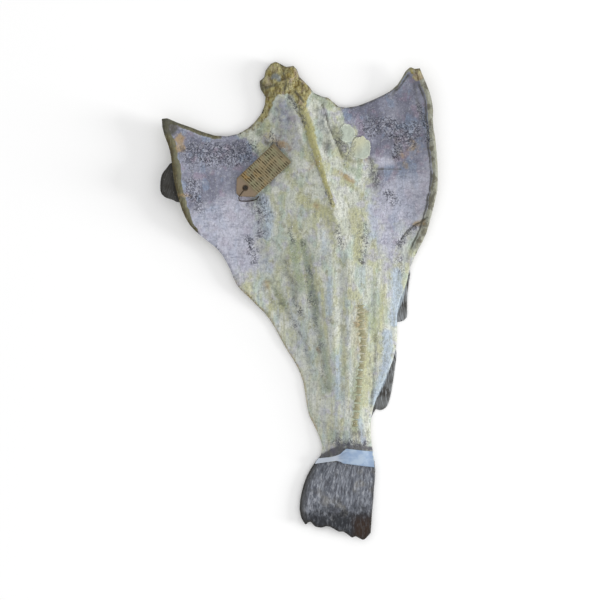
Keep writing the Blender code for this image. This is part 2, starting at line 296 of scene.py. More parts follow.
def on_fin(x, y):
    found = heights(x, y)
    beside = FINS_FROM < y < FINS_TO and abs(x) > FINS_BESIDE
    return beside and found is not None and found[0] - found[1] < FIN_WALL


def on_body(x, y):
    return on_fish(x, y) and not on_fin(x, y)


print("solid: thickness in the middle", round(1000 * sum(
    (1, -1)[k] * h for k, h in enumerate(heights(0.05, 0.05))), 1), "mm")

# %% [markdown]
# ## Cutting a sheet to the outline
#
# Flesh, tail and fins all start as a flat sheet of small squares. The squares that
# hang over the outline are deleted, which leaves steps like a staircase, and each edge
# point is then pushed outwards until a ray says that it is just about to fall off.

# %% Sheets
EDGE_SEARCH = 6                # halvings of the step from an edge point to the outline
EDGE_EASING = 4                # smoothing passes over the squares next to the edge


def find_edge(point, outward, reach, wanted):
    """The last place on the way outwards that is still on the piece."""
    low, high = 0.0, reach
    for _ in range(EDGE_SEARCH):
        middle = (low + high) / 2
        place = point + middle * outward
        low, high = (middle, high) if wanted(place.x, place.y) else (low, middle)
    return point + low * outward


def cut_sheet(step, wanted, low, high):
    """A flat sheet of squares, cut to the places where wanted(x, y) is true."""
    columns = math.ceil((high.x - low.x) / step)
    rows = math.ceil((high.y - low.y) / step)
    bm = bmesh.new()
    bmesh.ops.create_grid(bm, x_segments=columns, y_segments=rows, size=0.5)
    bmesh.ops.scale(bm, vec=(columns * step, rows * step, 1), verts=bm.verts)
    bmesh.ops.translate(bm, vec=((low.x + high.x) / 2, (low.y + high.y) / 2, 0),
                        verts=bm.verts)
    off = [vert for vert in bm.verts if not wanted(vert.co.x, vert.co.y)]
    bmesh.ops.delete(bm, geom=off, context="VERTS")
    bmesh.ops.delete(bm, geom=[vert for vert in bm.verts if not vert.link_faces],
                     context="VERTS")
    rim = [vert for vert in bm.verts if vert.is_boundary]
    for vert in rim:
        inside = sum((f.calc_center_median() for f in vert.link_faces), Vector())
        outward = (vert.co - inside / len(vert.link_faces)).normalized()
        vert.co = find_edge(vert.co, outward, 1.6 * step, wanted)
    ring = {v for vert in rim for e in vert.link_edges for v in e.verts if not v.is_boundary}
    wide = ring | {v for vert in ring for e in vert.link_edges for v in e.verts
                   if not v.is_boundary}
    for _ in range(EDGE_EASING):
        bmesh.ops.smooth_vert(bm, verts=list(wide), factor=0.5, use_axis_x=True,
                              use_axis_y=True)
    return bm


# %% [markdown]
# ## Drawing on the sheet
#
# Ridges, furrows and patches are drawn as a few points in millimetres, and every point
# of the sheet then asks how far it is from each line, or how deep inside each patch.
# With all the points in one array the whole fish answers at once.

# %% Drawing tools
def eased(low, high, value):
    """0 below low, 1 above high, and a soft step between."""
    t = np.clip((value - low) / (high - low), 0, 1)
    return t * t * (3 - 2 * t)


class Drawing:
    """The points of a sheet, in millimetres, and how they lie to drawn lines."""

    def __init__(self, places):
        self.x, self.y = places[:, 0] / MM, places[:, 1] / MM

    def away(self, path, closed=False):
        """Distance of every point from a drawn line."""
        corners = list(path) + [path[0]] * closed
        best = np.full(len(self.x), 1e9)
        for (ax, ay), (bx, by) in zip(corners, corners[1:]):
            along_x, along_y = bx - ax, by - ay
            share = ((self.x - ax) * along_x + (self.y - ay) * along_y)
            share = np.clip(share / (along_x ** 2 + along_y ** 2), 0, 1)
            best = np.minimum(best, np.hypot(self.x - ax - share * along_x,
                                             self.y - ay - share * along_y))
        return best

    def line(self, path, width):
        """1 on a drawn line, fading over its width."""
        return np.exp(-(self.away(path) / width) ** 2)

    def patch(self, outline, soft, wobble=0.0):
        """1 inside a drawn outline and 0 outside, soft millimetres of fading between."""
        inside = np.zeros(len(self.x), bool)
        for (ax, ay), (bx, by) in zip(outline, list(outline[1:]) + [outline[0]]):
            crosses = (ay > self.y) != (by > self.y)
            at = ax + (self.y - ay) * (bx - ax) / (by - ay if by != ay else 1)
            inside ^= crosses & (self.x < at)
        depth = np.where(inside, 1, -1) * self.away(outline, closed=True)
        return eased(-soft, soft, depth + wobble)

    def lumps(self, size, octaves=3, seed=0.0, stretch=1.0, turn=0.0):
        """Clouds of -1 to 1, size millimetres across, drawn out along a direction."""
        c, s = math.cos(math.radians(turn)), math.sin(math.radians(turn))
        u = (self.x * c + self.y * s) / (size * stretch)
        v = (self.y * c - self.x * s) / size
        return np.array([noise.fractal((a, b, seed), 0.9, 2.0, octaves)
                         for a, b in zip(u, v)])


print("drawing: ready")

# %% [markdown]
# ## The flesh
#
# Split open, the cod is one broad slab: muscle down the back, a thin grey lining on
# the two belly flaps, and skin underneath. The sheet is raised to the height that the
# rays felt, smoothed so that no facet of the solid is left, and given its own relief.
# Copied downwards it becomes the skin side, and a wall closes the two at the edge.

# %% The flesh sheet
FLESH_STEP = 1.78 * MM
TAIL_CUT = -243 * MM           # the flesh ends here, under the ribbon
HEIGHT_EASING = 26


def settled_heights(bm, which):
    """Every point's height on the flesh (0) or skin (1) side, without the facets."""
    last = COD_LOW.z
    for vert in bm.verts:
        felt = heights(vert.co.x, vert.co.y)
        last = felt[which] if felt else last
        vert.co.z = last
    for _ in range(HEIGHT_EASING):
        bmesh.ops.smooth_vert(bm, verts=bm.verts, factor=0.5, use_axis_z=True)
    found = np.array([vert.co.z for vert in bm.verts])
    return found


flesh_bm = cut_sheet(FLESH_STEP, lambda x, y: y > TAIL_CUT and on_body(x, y),
                     COD_LOW, COD_HIGH)
flesh_top = settled_heights(flesh_bm, 0)
flesh_low = settled_heights(flesh_bm, 1)
flesh_places = np.array([vert.co[:] for vert in flesh_bm.verts])
print("flesh:", len(flesh_bm.faces), "squares on each side")


# %% Distance from the edge
def distance_from_edge(bm):
    """How many millimetres each point is from the edge of its sheet."""
    rim = [vert for vert in bm.verts if vert.is_boundary]
    tree = KDTree(len(rim))
    for index, vert in enumerate(rim):
        tree.insert((vert.co.x, vert.co.y, 0), index)
    tree.balance()
    return np.array([tree.find((v.co.x, v.co.y, 0))[2] for v in bm.verts]) / MM


flesh_edge = distance_from_edge(flesh_bm)
print("flesh: deepest point", round(float(flesh_edge.max())), "mm from the edge")

# %% [markdown]
# ## Where things are on the flesh
#
# Each feature is a short list of points in the fish's millimetres, x across and y
# towards the neck: the two lined flaps, the crusted neck, the yellow tendon that runs
# back from it, the creases on both sides and the furrows between the muscles.

# %% Drawn features
LEFT_LINING = [
    (-225, 290), (-170, 290), (-118, 262), (-92, 262), (-74, 245), (-67, 200), (-64, 155),
    (-60, 110), (-57, 75), (-56, 52), (-66, 38), (-84, 34), (-110, 12), (-160, 70),
    (-230, 150),
]
RIGHT_LINING = [
    (60, 305), (66, 284), (76, 262), (90, 244), (99, 230), (105, 214), (108, 195),
    (108, 150), (112, 110), (117, 84), (126, 64), (137, 52), (148, 58), (149, 80),
    (153, 92), (162, 104), (174, 113), (182, 117), (192, 124), (225, 130), (235, 260),
    (190, 370), (150, 360), (110, 320),
]
NECK_CRUST = [
    (-70, 330), (-60, 365), (0, 365), (16, 330), (20, 314), (15, 300), (12, 288),
    (8, 276), (3, 288), (-4, 298), (-12, 306), (-26, 309), (-36, 304),
    (-42, 290), (-50, 268), (-64, 252), (-86, 244), (-100, 252), (-70, 275), (-60, 300),
]
ARCH_STRIP = [
    (-36, 222), (-39, 250), (-40, 270), (-38, 288), (-33, 299), (-27, 303), (-20, 301),
    (-14, 294), (-8, 280), (-3, 262), (4, 240), (8, 222),
]
TENDON = [
    (1, 300), (3, 288), (8, 276), (12, 265), (18, 243), (24, 224), (30, 204), (36, 184),
    (42, 165), (46, 153), (50, 141), (54, 122),
]
LEFT_CREASE = [
    (-16, 304), (-7, 293), (1, 278), (6, 264), (11, 244), (16, 228), (24, 204), (33, 178),
    (41, 158),
]
RIGHT_CREASE = [(34, 292), (40, 276), (44, 259), (50, 246), (57, 231), (64, 214)]
BACK_FURROW = [
    (5, 84), (8, 67), (15, 14), (21, -16), (28, -46), (32, -78), (34, -98), (40, -130),
]
SIDE_FURROW = [(-40, 18), (-24, -8), (-8, -34), (7, -61), (14, -92)]
FILLET_GROOVE = [(113, -52), (114, -80), (113, -100), (110, -130), (107, -166)]
FILLET_SWELL = [(133, -52), (133, -80), (130, -104), (123, -128), (115, -152)]
LADDER = [(90, 0), (91, -30), (93, -62), (93, -84), (90, -105), (86, -150), (82, -190)]
FOLD_LINE = [(148, 78), (153, 92), (162, 104), (174, 113), (182, 117), (192, 124)]
print("features:", len(TENDON), "points along the tendon")

# %% Relief
RELIEF = [                     # (height, half width, path), in millimetres
    (2.4, 6.2, TENDON), (-1.6, 2.0, LEFT_CREASE), (-1.8, 2.2, RIGHT_CREASE),
    (0.9, 2.0, ARCH_STRIP), (-2.4, 7.0, BACK_FURROW), (-2.0, 5.0, SIDE_FURROW),
    (-1.2, 3.4, FILLET_GROOVE), (1.9, 9.0, FILLET_SWELL), (-0.3, 6.0, LADDER),
    (-1.6, 2.0, FOLD_LINE), (1.2, 7.0, [(158, 84), (172, 96), (184, 104)]),
    (1.6, 6.0, [(-80, 12), (-52, -26), (-28, -62), (-8, -98)]),
    (-1.4, 4.0, [(-66, 34), (-44, 0), (-22, -36), (-2, -72)]),
    (1.5, 7.0, [(44, 60), (50, -20), (54, -140)]), (1.2, 5.0, [(72, 60), (73, -60), (72, -160)]),
    (-1.2, 4.0, [(60, 40), (62, -40), (63, -150)]), (-1.2, 4.0, [(108, 40), (110, -30)]),
]
flesh_drawing = Drawing(flesh_places)
fx, fy = flesh_drawing.x, flesh_drawing.y

wander = 9 * flesh_drawing.lumps(26, 4, 1.0) + 3 * flesh_drawing.lumps(7, 2, 1.5)
soft = 6 + 22 * eased(225, 140, fy)
lining = np.maximum(flesh_drawing.patch(LEFT_LINING, soft, 1.3 * wander),
                    flesh_drawing.patch(RIGHT_LINING, soft, 1.1 * wander))
crust = flesh_drawing.patch(NECK_CRUST, 5, 0.6 * wander)
rim_zone = np.maximum(eased(-105, -130, fx) * eased(85, 115, fy),
                      eased(118, 150, fx) * eased(66, 84, fy))
on_front = np.where(fx < 0, eased(232, 244, fy + 0.35 * (fx + 150)) * eased(-200, -190, fx),
                    eased(172, 160, fx) * eased(280, 300, fy))
rim_width = (np.where(fx < 0, 5.0 + 6.0 * eased(110, 150, fy), 8.0) - 5.0 * on_front) * (1 + 0.35 * flesh_drawing.lumps(30, 3, 4.0))
rim = rim_zone * eased(rim_width + 1.8, rim_width - 1.8, flesh_edge)
tips = np.maximum(flesh_drawing.line([(-206, 272), (-196, 262)], 15),
                  flesh_drawing.line([(173, 348), (178, 338)], 11))
rim_line = rim_zone * np.exp(-((flesh_edge - rim_width - 2.2) / 1.5) ** 2)
rim_line = rim_line * (1 - eased(0.1, 0.4, tips)) * np.where(fx < 0, eased(96, 140, fy), 1)
under_tag = flesh_drawing.patch(
    [(-106, 173), (-92, 141), (-12, 216), (-30, 236), (-38, 240), (-100, 182)], 6)


def fishbone(drawing):
    """Stripes that slant back from the middle of the back, as the muscle blocks do."""
    across = np.abs(drawing.x - 55 - 0.05 * (60 - drawing.y))
    phase = (drawing.y + 0.62 * across) / 8.6 + 1.1 * drawing.lumps(34, 3, 9.0)
    return np.sin(2 * math.pi * phase)


muscle = (1 - lining) * (1 - crust) * eased(200, 60, fy)
blocks = fishbone(flesh_drawing) * eased(-0.25, 0.45, flesh_drawing.lumps(30, 2, 9.5))
relief = sum(height * flesh_drawing.line(path, width) for height, width, path in RELIEF)
relief = relief + 3.2 * crust * flesh_drawing.lumps(10, 3, 2.0)
relief = relief + 2.6 * crust * flesh_drawing.lumps(4.5, 2, 3.0, 2.2, 60.0)
relief = relief + 0.22 * muscle * blocks
relief = relief + 0.7 * (1 - lining) * flesh_drawing.lumps(11, 3, 5.0, 4.0, 82.0)
relief = relief + 0.5 * lining * flesh_drawing.lumps(9, 3, 6.0)
relief = relief + 0.5 * lining * flesh_drawing.lumps(4, 2, 6.5, 5.0, 10.0)
relief = relief + 0.45 * flesh_drawing.lumps(5, 2, 7.0)
raised = np.where(fx < 0, 0.12, 1.0)
relief = relief + raised * (rim * (1.4 + 0.7 * flesh_drawing.lumps(9, 2, 8.0)) - 1.3 * rim_line)
relief = relief * (1 - under_tag) - 0.4 * under_tag
print("relief: from", round(float(relief.min()), 1), "to", round(float(relief.max()), 1))

# %% The flesh gets its skin side and its walls
EDGE_ROUND = 3.4               # the edge of the flesh is round for this many millimetres
inward = np.sqrt(np.clip(flesh_edge / EDGE_ROUND, 0, 1))
middle = (flesh_top + flesh_low) / 2
fullness = 0.34 + 0.66 * inward
top_z = middle + (flesh_top - middle) * fullness + relief * MM * (0.25 + 0.75 * inward)
low_z = middle + (flesh_low - middle) * fullness
low_z = np.maximum(low_z, COD_LOW.z)
top_z = np.maximum(top_z, low_z + 1.2 * MM)


def close_sheet(bm, top, low):
    """Copies a flat sheet downwards and walls it in: flesh above, skin below."""
    order = bm.verts.layers.int.new("order")
    for index, vert in enumerate(bm.verts):
        vert[order] = index
    skin_faces = bm.faces[:]
    grown = bmesh.ops.extrude_face_region(bm, geom=skin_faces, use_keep_orig=True)
    upper = {item for item in grown["geom"] if isinstance(item, bmesh.types.BMVert)}
    for vert in bm.verts:
        vert.co.z = (top if vert in upper else low)[vert[order]]
    for face in skin_faces:
        face.material_index = 1
    bmesh.ops.recalc_face_normals(bm, faces=bm.faces)


def piece_from(bm, name, materials, smooth=True):
    """A finished piece: its object stays at the origin and its place is in its mesh."""
    mesh = bpy.data.meshes.new(name)
    bm.to_mesh(mesh)
    bm.free()
    for material in materials:
        mesh.materials.append(material)
    mesh.polygons.foreach_set("use_smooth", [smooth] * len(mesh.polygons))
    piece = bpy.data.objects.new(name, mesh)
    scene.collection.objects.link(piece)
    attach(piece, "root")
    print(name + ":", len(mesh.polygons), "faces")
    return piece


def paint(piece, **masks):
    """Stores masks on a piece's points, for its material to read."""
    order = np.zeros(len(piece.data.vertices), dtype=np.int32)
    piece.data.attributes["order"].data.foreach_get("value", order)
    for name, values in masks.items():
        layer = piece.data.attributes.new(name, "FLOAT", "POINT")
        layer.data.foreach_set("value", np.asarray(values, dtype=np.float32)[order])


close_sheet(flesh_bm, top_z, low_z)
flesh = piece_from(flesh_bm, "flesh", [])
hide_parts("cod")

# %% [markdown]
# ## What colour where
#
# The masks say how much of each look a point of the flesh has: how far the lining of
# the flaps reaches and how pale it is, where the crust has turned olive, where the flesh
# is yellow with fat or white with salt, where it is dark or stained, and where shade is
# painted: in the creases, furrows and grooves, along the ribbon, at the tag's edge and
# hole, and as a dark line along the lower left edge.

# %% Masks of the flesh
YELLOW_LINES = [               # (strength, half width, path)
    (1.0, 9, [(84, 132), (88, 100), (88, 56)]), (0.5, 8, LADDER), (0.9, 9, [(101, -84), (100, -120), (98, -156)]),
    (0.7, 6, [(112, -30), (110, -60)]), (0.5, 5, [(68, -60), (66, -110)]),
    (0.8, 4, [(34, 15), (37, -30), (40, -55)]), (0.7, 4, [(100, -20), (101, -70), (99, -120)]),
    (0.7, 6, [(-84, 22), (-62, -16), (-38, -48), (-20, -80), (2, -112)]),
    (1.0, 12, [(6, 150), (24, 140), (36, 130)]), (0.7, 9, [(38, 124), (46, 100)]),
    (0.6, 10, [(-12, 124), (-4, 90), (-2, 62)]), (0.8, 9, [(-30, 52), (-14, 40), (-4, 34)]),
    (0.7, 8, [(-36, 40), (-30, 0), (-16, -26)]), (0.95, 6, [(54, 192), (69, 180), (85, 166)]),
    (1.0, 5, [(188, 108), (188, 96), (182, 84)]), (0.6, 6, [(24, -206), (34, -222)]),
    (0.6, 8, [(62, 218), (72, 200)]), (0.7, 9, [(-24, 214), (-16, 190), (-8, 172)]),
    (0.6, 7, [(-46, 262), (-50, 246)]), (0.7, 4, [(64, -180), (62, -205)]),
    (0.6, 5, [(128, 20), (122, -20), (120, -44)]),
]
WHITE_LINES = [
    (0.65, 22, [(-44, 70), (-10, 20), (22, -60)]), (0.4, 10, [(20, 60), (40, 30)]),
    (0.7, 14, [(64, 50), (60, 0), (58, -60)]), (0.6, 13, [(-4, -80), (20, -130), (34, -180)]),
    (0.5, 12, [(126, 60), (124, 20)]), (0.4, 9, [(48, 278), (56, 236), (60, 206)]),
    (0.8, 4.5, [(-22, -14), (-6, -40), (8, -66)]), (0.8, 8, [(158, 88), (166, 96), (176, 100)]),
    (0.8, 5, [(-92, 10), (-66, -16), (-42, -44), (-26, -70), (-10, -94), (2, -112)]),
    (0.3, 10, [(40, 112), (46, 84), (52, 62)]), (0.35, 6, [(76, 70), (76, 10), (78, -60)]),
    (0.2, 14, [(60, -190), (70, -214)]), (0.6, 8, [(-4, 210), (4, 180), (12, 160)]),
    (0.2, 11, [(42, 106), (46, 82), (50, 60)]), (0.6, 5, [(-40, 34), (-30, 14)]),
]
BLUE_LINES = [
    (1.0, 9, FILLET_SWELL), (1.2, 8, [(146, 40), (147, 10), (143, -34)]),
    (0.8, 11, [(-56, 152), (-46, 124), (-50, 96)]), (0.7, 5, [(58, -84), (58, -146)]),
    (0.6, 7, [(44, 30), (46, -20)]), (0.5, 7, [(36, 100), (36, 70)]),
    (0.6, 9, [(-24, 290), (-20, 262)]), (1.0, 6, [(-38, 336), (-32, 333)]), (0.4, 7, [(30, 282), (36, 252)]),
    (0.7, 9, [(108, 140), (114, 96)]), (0.3, 7, [(10, 56), (20, 0), (30, -60), (38, -110)]),
    (0.6, 8, [(-50, 60), (-44, 40)]), (0.6, 6, [(90, -180), (96, -212)]),
    (0.5, 8, [(-8, -20), (10, -70), (22, -110)]), (0.6, 7, [(74, 262), (76, 240)]),
]
# Dark marks and painted shade, (strength, half width, path): painted shade in the creases, furrows, grooves and fold
# line, painted shadow along the ribbon's upper edge and along the tag's lower edge, painted shade in the tag's hole,
# and dark spots and lines in the crust.
DARK_AND_SHADE_LINES = [
    (0.5, 1.5, LEFT_CREASE[:4]), (0.45, 1.4, LEFT_CREASE), (0.7, 1.6, RIGHT_CREASE),
    (0.3, 6.0, BACK_FURROW[2:]), (0.35, 2.5, BACK_FURROW[2:7]),
    (0.35, 5.0, SIDE_FURROW), (0.25, 5, [(-66, 34), (-44, 0), (-22, -36)]), (0.45, 3.4, FILLET_GROOVE), (0.8, 1.4, FOLD_LINE[1:]),
    (0.5, 8, [(52, 256), (60, 238), (66, 226)]), (0.5, 5, [(60, 226), (70, 212), (86, 208)]),
    (0.7, 1.5, [(104, 197), (126, 197), (152, 197)]), (0.5, 3, [(88, 244), (82, 238)]),
    (0.55, 6, [(108, 212), (109, 196), (113, 178)]), (0.45, 8, [(118, 190), (116, 172)]),
    (0.5, 6, [(-60, 252), (-50, 238), (-40, 226)]), (0.5, 6, [(-74, 150), (-60, 150)]),
    (0.25, 12, [(-60, 150), (-56, 110), (-52, 60)]), (0.35, 8, [(16, 60), (20, 10), (26, -30)]),
    (0.5, 3, [(144, 244), (148, 218)]), (0.4, 5, [(172, 322), (176, 300), (184, 270)]),
    (1.3, 5, [(30, -238), (42, -232), (56, -224)]), (0.9, 4, [(60, -217), (84, -221), (110, -224)]),
    (0.25, 14, [(-24, 284), (-14, 250), (-4, 226)]), (0.45, 12, [(30, 282), (38, 250), (44, 226)]), (0.35, 14, [(60, -198), (96, -204)]),
    (1.3, 4.5, [(-82, 168), (-81, 169)]), (1.0, 5, [(-60, 326), (-58, 318)]), (0.8, 3, [(-50, 318), (-38, 322)]),
    (0.8, 2, [(-24, 340), (-20, 326), (-22, 316)]), (0.9, 2.2, [(-6, 312), (2, 302), (6, 296)]),
    (0.8, 2.5, [(90, 60), (95, 56)]), (0.35, 8, [(-20, 60), (-10, 20), (0, -20)]),
]
STAINS = [                     # (strength, how wide, centre): pink and brown spots
    (1.3, 8, [(-179, 240), (-178, 228)]), (0.9, 6, [(157, 204), (163, 198)]),
    (0.8, 12, [(91, -16), (92, -76)]), (0.8, 7, [(-52, 26), (-48, 20)]),
    (0.6, 7, [(22, 142), (28, 138)]), (0.9, 5, [(174, 114), (186, 118)]),
    (0.5, 20, [(172, 232), (160, 220)]), (0.7, 3, [(-181, 158), (-164, 156)]),
    (0.8, 10, [(-50, 246), (-36, 236), (-20, 230)]), (0.9, 5, [(62, 190), (80, 178)]),
    (0.5, 6, [(96, 218), (104, 204)]), (0.5, 8, [(26, 210), (12, 196)]),
    (0.5, 5, [(28, -70), (34, -94)]), (0.4, 8, [(88, -188), (90, -206)]),
]
GREEN_LINES = [
    (0.9, 9, [(-8, 84), (-4, 50), (2, 20)]), (0.6, 7, [(-30, 62), (-20, 40)]),
    (0.8, 7, [(5, 86), (14, 40), (22, -8), (36, -70), (45, -134)]),
    (0.8, 8, [(78, 196), (90, 188)]), (0.6, 7, [(106, 165), (112, 150)]),
    (0.7, 7, [(-54, 262), (-62, 250)]), (0.6, 9, [(62, 270), (68, 254)]), (0.8, 7, [(22, 306), (34, 300), (48, 292)]),
    (0.6, 6, [(-44, 262), (-56, 250)]),
    (0.7, 9, [(-40, 236), (-30, 214), (-22, 196)]), (0.6, 8, [(150, 76), (158, 62)]),
    (0.5, 8, [(-60, 44), (-40, 20), (-20, -12)]), (0.7, 11, [(88, -100), (86, -190)]), (0.6, 13, [(112, 24), (110, -46)]), (0.6, 8, [(182, 314), (188, 290)]),
]
BUSY_LINES = [                 # where the surface has dried to fine dark squiggles
    (1.0, 20, [(-160, 222), (-120, 218), (-75, 226)]), (0.8, 14, [(-160, 170), (-150, 140)]),
    (0.6, 14, [(-62, 150), (-50, 125), (-56, 100)]), (0.8, 8, [(-76, 90), (-68, 60)]),
    (0.9, 20, [(112, 262), (140, 258), (168, 250)]), (1.2, 6, [(148, 236), (146, 214)]),
    (0.8, 10, [(106, 200), (116, 180)]), (0.9, 8, [(132, 160), (142, 150)]),
    (0.6, 11, [(96, 112), (98, 84), (92, 60)]), (1.0, 5, [(178, 290), (190, 260), (192, 240)]),
    (0.7, 8, [(56, 238), (66, 230), (72, 220)]), (0.9, 8, [(-44, 250), (-36, 224), (-28, 206)]),
    (1.0, 5, [(-16, 300), (2, 280), (10, 262)]), (0.9, 5, [(40, 162), (48, 146)]),
    (0.8, 5, [(58, 112), (62, 80)]), (0.4, 8, BACK_FURROW), (0.4, 6, SIDE_FURROW), (0.6, 4, [(9, 34), (17, 2)]), (0.8, 6, [(-8, 0), (2, -20)]),
    (0.8, 7, [(48, -212), (106, -216)]), (0.7, 6, [(-14, 104), (-10, 88)]),
    (0.9, 6, [(150, 84), (160, 98), (172, 108)]), (0.8, 8, [(150, 60), (152, 44)]),
]
PALER_LINING = [               # where the lining is paler than its gradient, or darker
    (0.75, 7, [(110, 210), (122, 209), (138, 208)]), (-0.35, 10, [(112, 180), (118, 150)]),
    (-0.3, 10, [(130, 150), (140, 120)]), (0.05, 16, [(176, 176), (190, 130)]),
    (-0.4, 11, [(138, 106), (146, 80)]), (-0.4, 24, [(-156, 192), (-112, 188)]), (-0.15, 14, [(112, 190), (134, 184)]),
    (0.2, 16, [(140, 280), (165, 255)]), (-0.3, 9, [(-76, 148), (-62, 120)]),
    (0.3, 14, [(150, 290), (128, 262)]), (0.3, 12, [(150, 236), (170, 228)]),
]


def drawn_mask(drawing, table):
    """Everything in a table drawn over each other, none of it beyond 1."""
    mask = np.zeros(len(drawing.x))
    for strength, width, path in table:
        mask = np.maximum(mask, strength * drawing.line(path, width))
    return mask


broad = flesh_drawing.lumps(46, 3, 11.0)
streaks = flesh_drawing.lumps(7, 3, 12.0, 6.0, 84.0)
pale_lining = np.where(fx < 0, eased(44, -40, fy - 192 - 0.75 * (fx + 73) + 24 * broad),
                       eased(226, 150, fy + 30 * broad - 0.2 * (fx - 120)))
pale_lining = pale_lining + sum(strength * flesh_drawing.line(path, width)
                                for strength, width, path in PALER_LINING)
front_line = eased(240, 250, fy) * eased(4.0, 1.0, flesh_edge)
front_band = eased(236, 246, fy) * eased(-84, -96, fx) * np.exp(-((flesh_edge - 6.5) / 3) ** 2)
pale_lining = pale_lining + 0.5 * front_band
olive = np.maximum.reduce([crust * (0.5 + 0.5 * eased(262, 300, fy)), 0.7 * eased(0.1, 0.7, tips) * (fx > 0), 0.5 * eased(250, 268, fy)
                           * flesh_drawing.line([(40, 306), (56, 294), (66, 288)], 7)])
arch = flesh_drawing.patch(ARCH_STRIP, 4)
tendon = flesh_drawing.line(TENDON, 3.8 + 5.0 * eased(150, 290, fy)) * eased(118, 150, fy)
yellow = drawn_mask(flesh_drawing, YELLOW_LINES) * (0.9 + 0.5 * streaks)
yellow = np.clip(yellow + 0.32 * eased(0.0, 0.7, broad) * muscle, 0, 1)
white = drawn_mask(flesh_drawing, WHITE_LINES)
white = white * (0.8 + 0.5 * streaks) + 0.2 * eased(30, -110, fy) * eased(-215, -165, fy)
white = np.clip(white, 0, 1)
# The flesh's dark marks together with painted shade in the creases, furrows and the groove inside the rims, painted
# shadow along the ribbon and the tag, dark streaks above the ribbon, a dark line along the front edge and the dark
# left tip.
dark = drawn_mask(flesh_drawing, DARK_AND_SHADE_LINES)
fringe = eased(-198, -226, fy + 9 * streaks) * eased(44, 56, fx) * eased(108, 96, fx)
dark = np.clip(np.maximum(dark, 0.85 * fringe) + 0.9 * raised * rim_line
               + 0.5 * front_line + 0.85 * eased(0.1, 0.6, tips) * (fx < 0), 0, 1)
busy = np.clip(drawn_mask(flesh_drawing, BUSY_LINES) + 0.4 * crust, 0, 1)
# Painted shadow: a dark line along the lower left edge of the flesh, mixed into the same mask as the real stains.
left_edge = eased(5.0, 1.0, flesh_edge) * eased(60, 20, fy) * eased(-215, -190, fy) * (fx < 60)
stain = np.maximum(drawn_mask(flesh_drawing, STAINS) * (0.8 + 0.04 * wander), 0.55 * left_edge)
paint(flesh, lining=np.maximum(lining * (1 - crust), 0.5 * arch), pale=pale_lining,
      olive=np.clip(olive, 0, 1), yellow=yellow, white=white, dark=dark,
      stain=np.clip(stain, 0, 1), blocks=0.5 + 0.5 * blocks * muscle, rim=rim,
      left=eased(20, -20, fx), tendon=tendon,
      inner=eased(0.3, 0.75, flesh_edge / rim_width), blue=drawn_mask(flesh_drawing, BLUE_LINES),
      tail_end=np.clip((110 - fy) / 350, 0, 1), busy=busy, green=drawn_mask(flesh_drawing, GREEN_LINES))
print("masks: lining covers", round(100 * float(lining.mean())), "percent")

# %% [markdown]
# ## The finish of the flesh
#
# Salted flesh is matt and chalky, with fibres that run lengthwise, pores, and grains of
# salt in every dent. Colours are mixed in layers from the base up. Each mask is broken
# up by a cloud pattern first, so no patch ends in a clean line.

# %% Flesh finish
flesh_finish = Finish("cod_flesh", 0.78)
f = flesh_finish
f_place = f.place()
f_fine = f.noise(2.6, f_place, 2.0, 0.6)
f_grain = f.noise(5.2, f_place, 2.0, 0.55, 1.0)
f_cloud = f.noise(26.0, f_place, 4.0, 0.6, 2.0)
f_spots = f.noise(11.0, f_place, 3.0, 0.55, 3.0)
f_hue = f.noise(17.0, f.stretched(f_place, 1.0, 0.6), 1.5, 0.5, 4.0)
f_pale = f.noise(16.0, f.stretched(f_place, 1.0, 0.6), 1.5, 0.5, 14.0)
f_violet = f.noise(15.0, f_place, 1.5, 0.5, 24.0)
f_fibre = f.noise(3.6, f.stretched(f_place, 1.0, 0.2), 2.0, 0.6, 5.0)
f_bands = f.noise(8.0, f.stretched(f_place, 1.0, 0.07), 3.0, 0.6, 8.0)
f_cross = f.noise(3.6, f.stretched(f_place, 0.25, 1.0), 2.0, 0.6, 6.0)
ragged = (f_grain - 0.5) * 0.7 + (f_spots - 0.5) * 0.9 + (f_fine - 0.5) * 0.2


def ragged_mask(name, low=0.3, high=0.7):
    return f.ramp(f.attribute(name) + ragged, low, high)


busy_here = f.ramp(f.attribute("busy") + (f_cloud - 0.5) * 1.6 + (f_spots - 0.5), 0.2, 0.8)
netted = busy_here * f.ramp(f.attribute("lining"), 0.2, 0.8, 0.5, 0.7)
squiggles = f.crinkle(4.6, f_place, 0.07, 7.0) * (netted + 0.12)
squiggles = squiggles + f.crinkle(9.0, f_place, 0.04, 17.0) * (busy_here * 0.3 + 0.15)
streaky = f.ramp(f.attribute("tail_end"), 0.0, 0.29, 0.1, 0.45)
meat = f.mix(f.ramp(f_cloud, 0.4, 0.6), tone(188, 192, 180), tone(202, 204, 196))
greyer = f.ramp(f.attribute("tail_end"), 0.3, 0.75, 1.0, 0.35)
meat = f.mix(f.ramp(f_hue, 0.48, 0.6, 0.0, 0.75) * greyer, meat, tone(174, 176, 140))
meat = f.mix(f.ramp(f_violet, 0.52, 0.64, 0.0, 0.6), meat, tone(170, 168, 186))
meat = f.mix(f.ramp(f_pale, 0.52, 0.64, 0.0, 0.6), meat, tone(166, 184, 172))
meat = f.mix(f.ramp(f_bands, 0.52, 0.6) * streaky, meat, tone(178, 176, 136))
meat = f.mix(f.ramp(f_bands, 0.47, 0.39) * streaky, meat, tone(170, 180, 190))
meat = f.mix(ragged_mask("yellow", 0.15, 0.8) * 0.8, meat, tone(173, 173, 132))
meat = f.mix(ragged_mask("green", 0.15, 0.8) * 0.7, meat, tone(142, 154, 128))
meat = f.mix(ragged_mask("blue", 0.15, 0.8) * 0.85, meat, tone(166, 180, 194))
meat = f.mix(ragged_mask("white", 0.2, 1.0) * 0.75, meat, tone(198, 201, 194))
meat = f.mix(f.ramp(f_fibre, 0.52, 0.62, 0.0, 0.4), meat, tone(146, 150, 136))
meat = f.mix(f.ramp(f_spots, 0.42, 0.34, 0.0, 0.5), meat, tone(140, 138, 112))
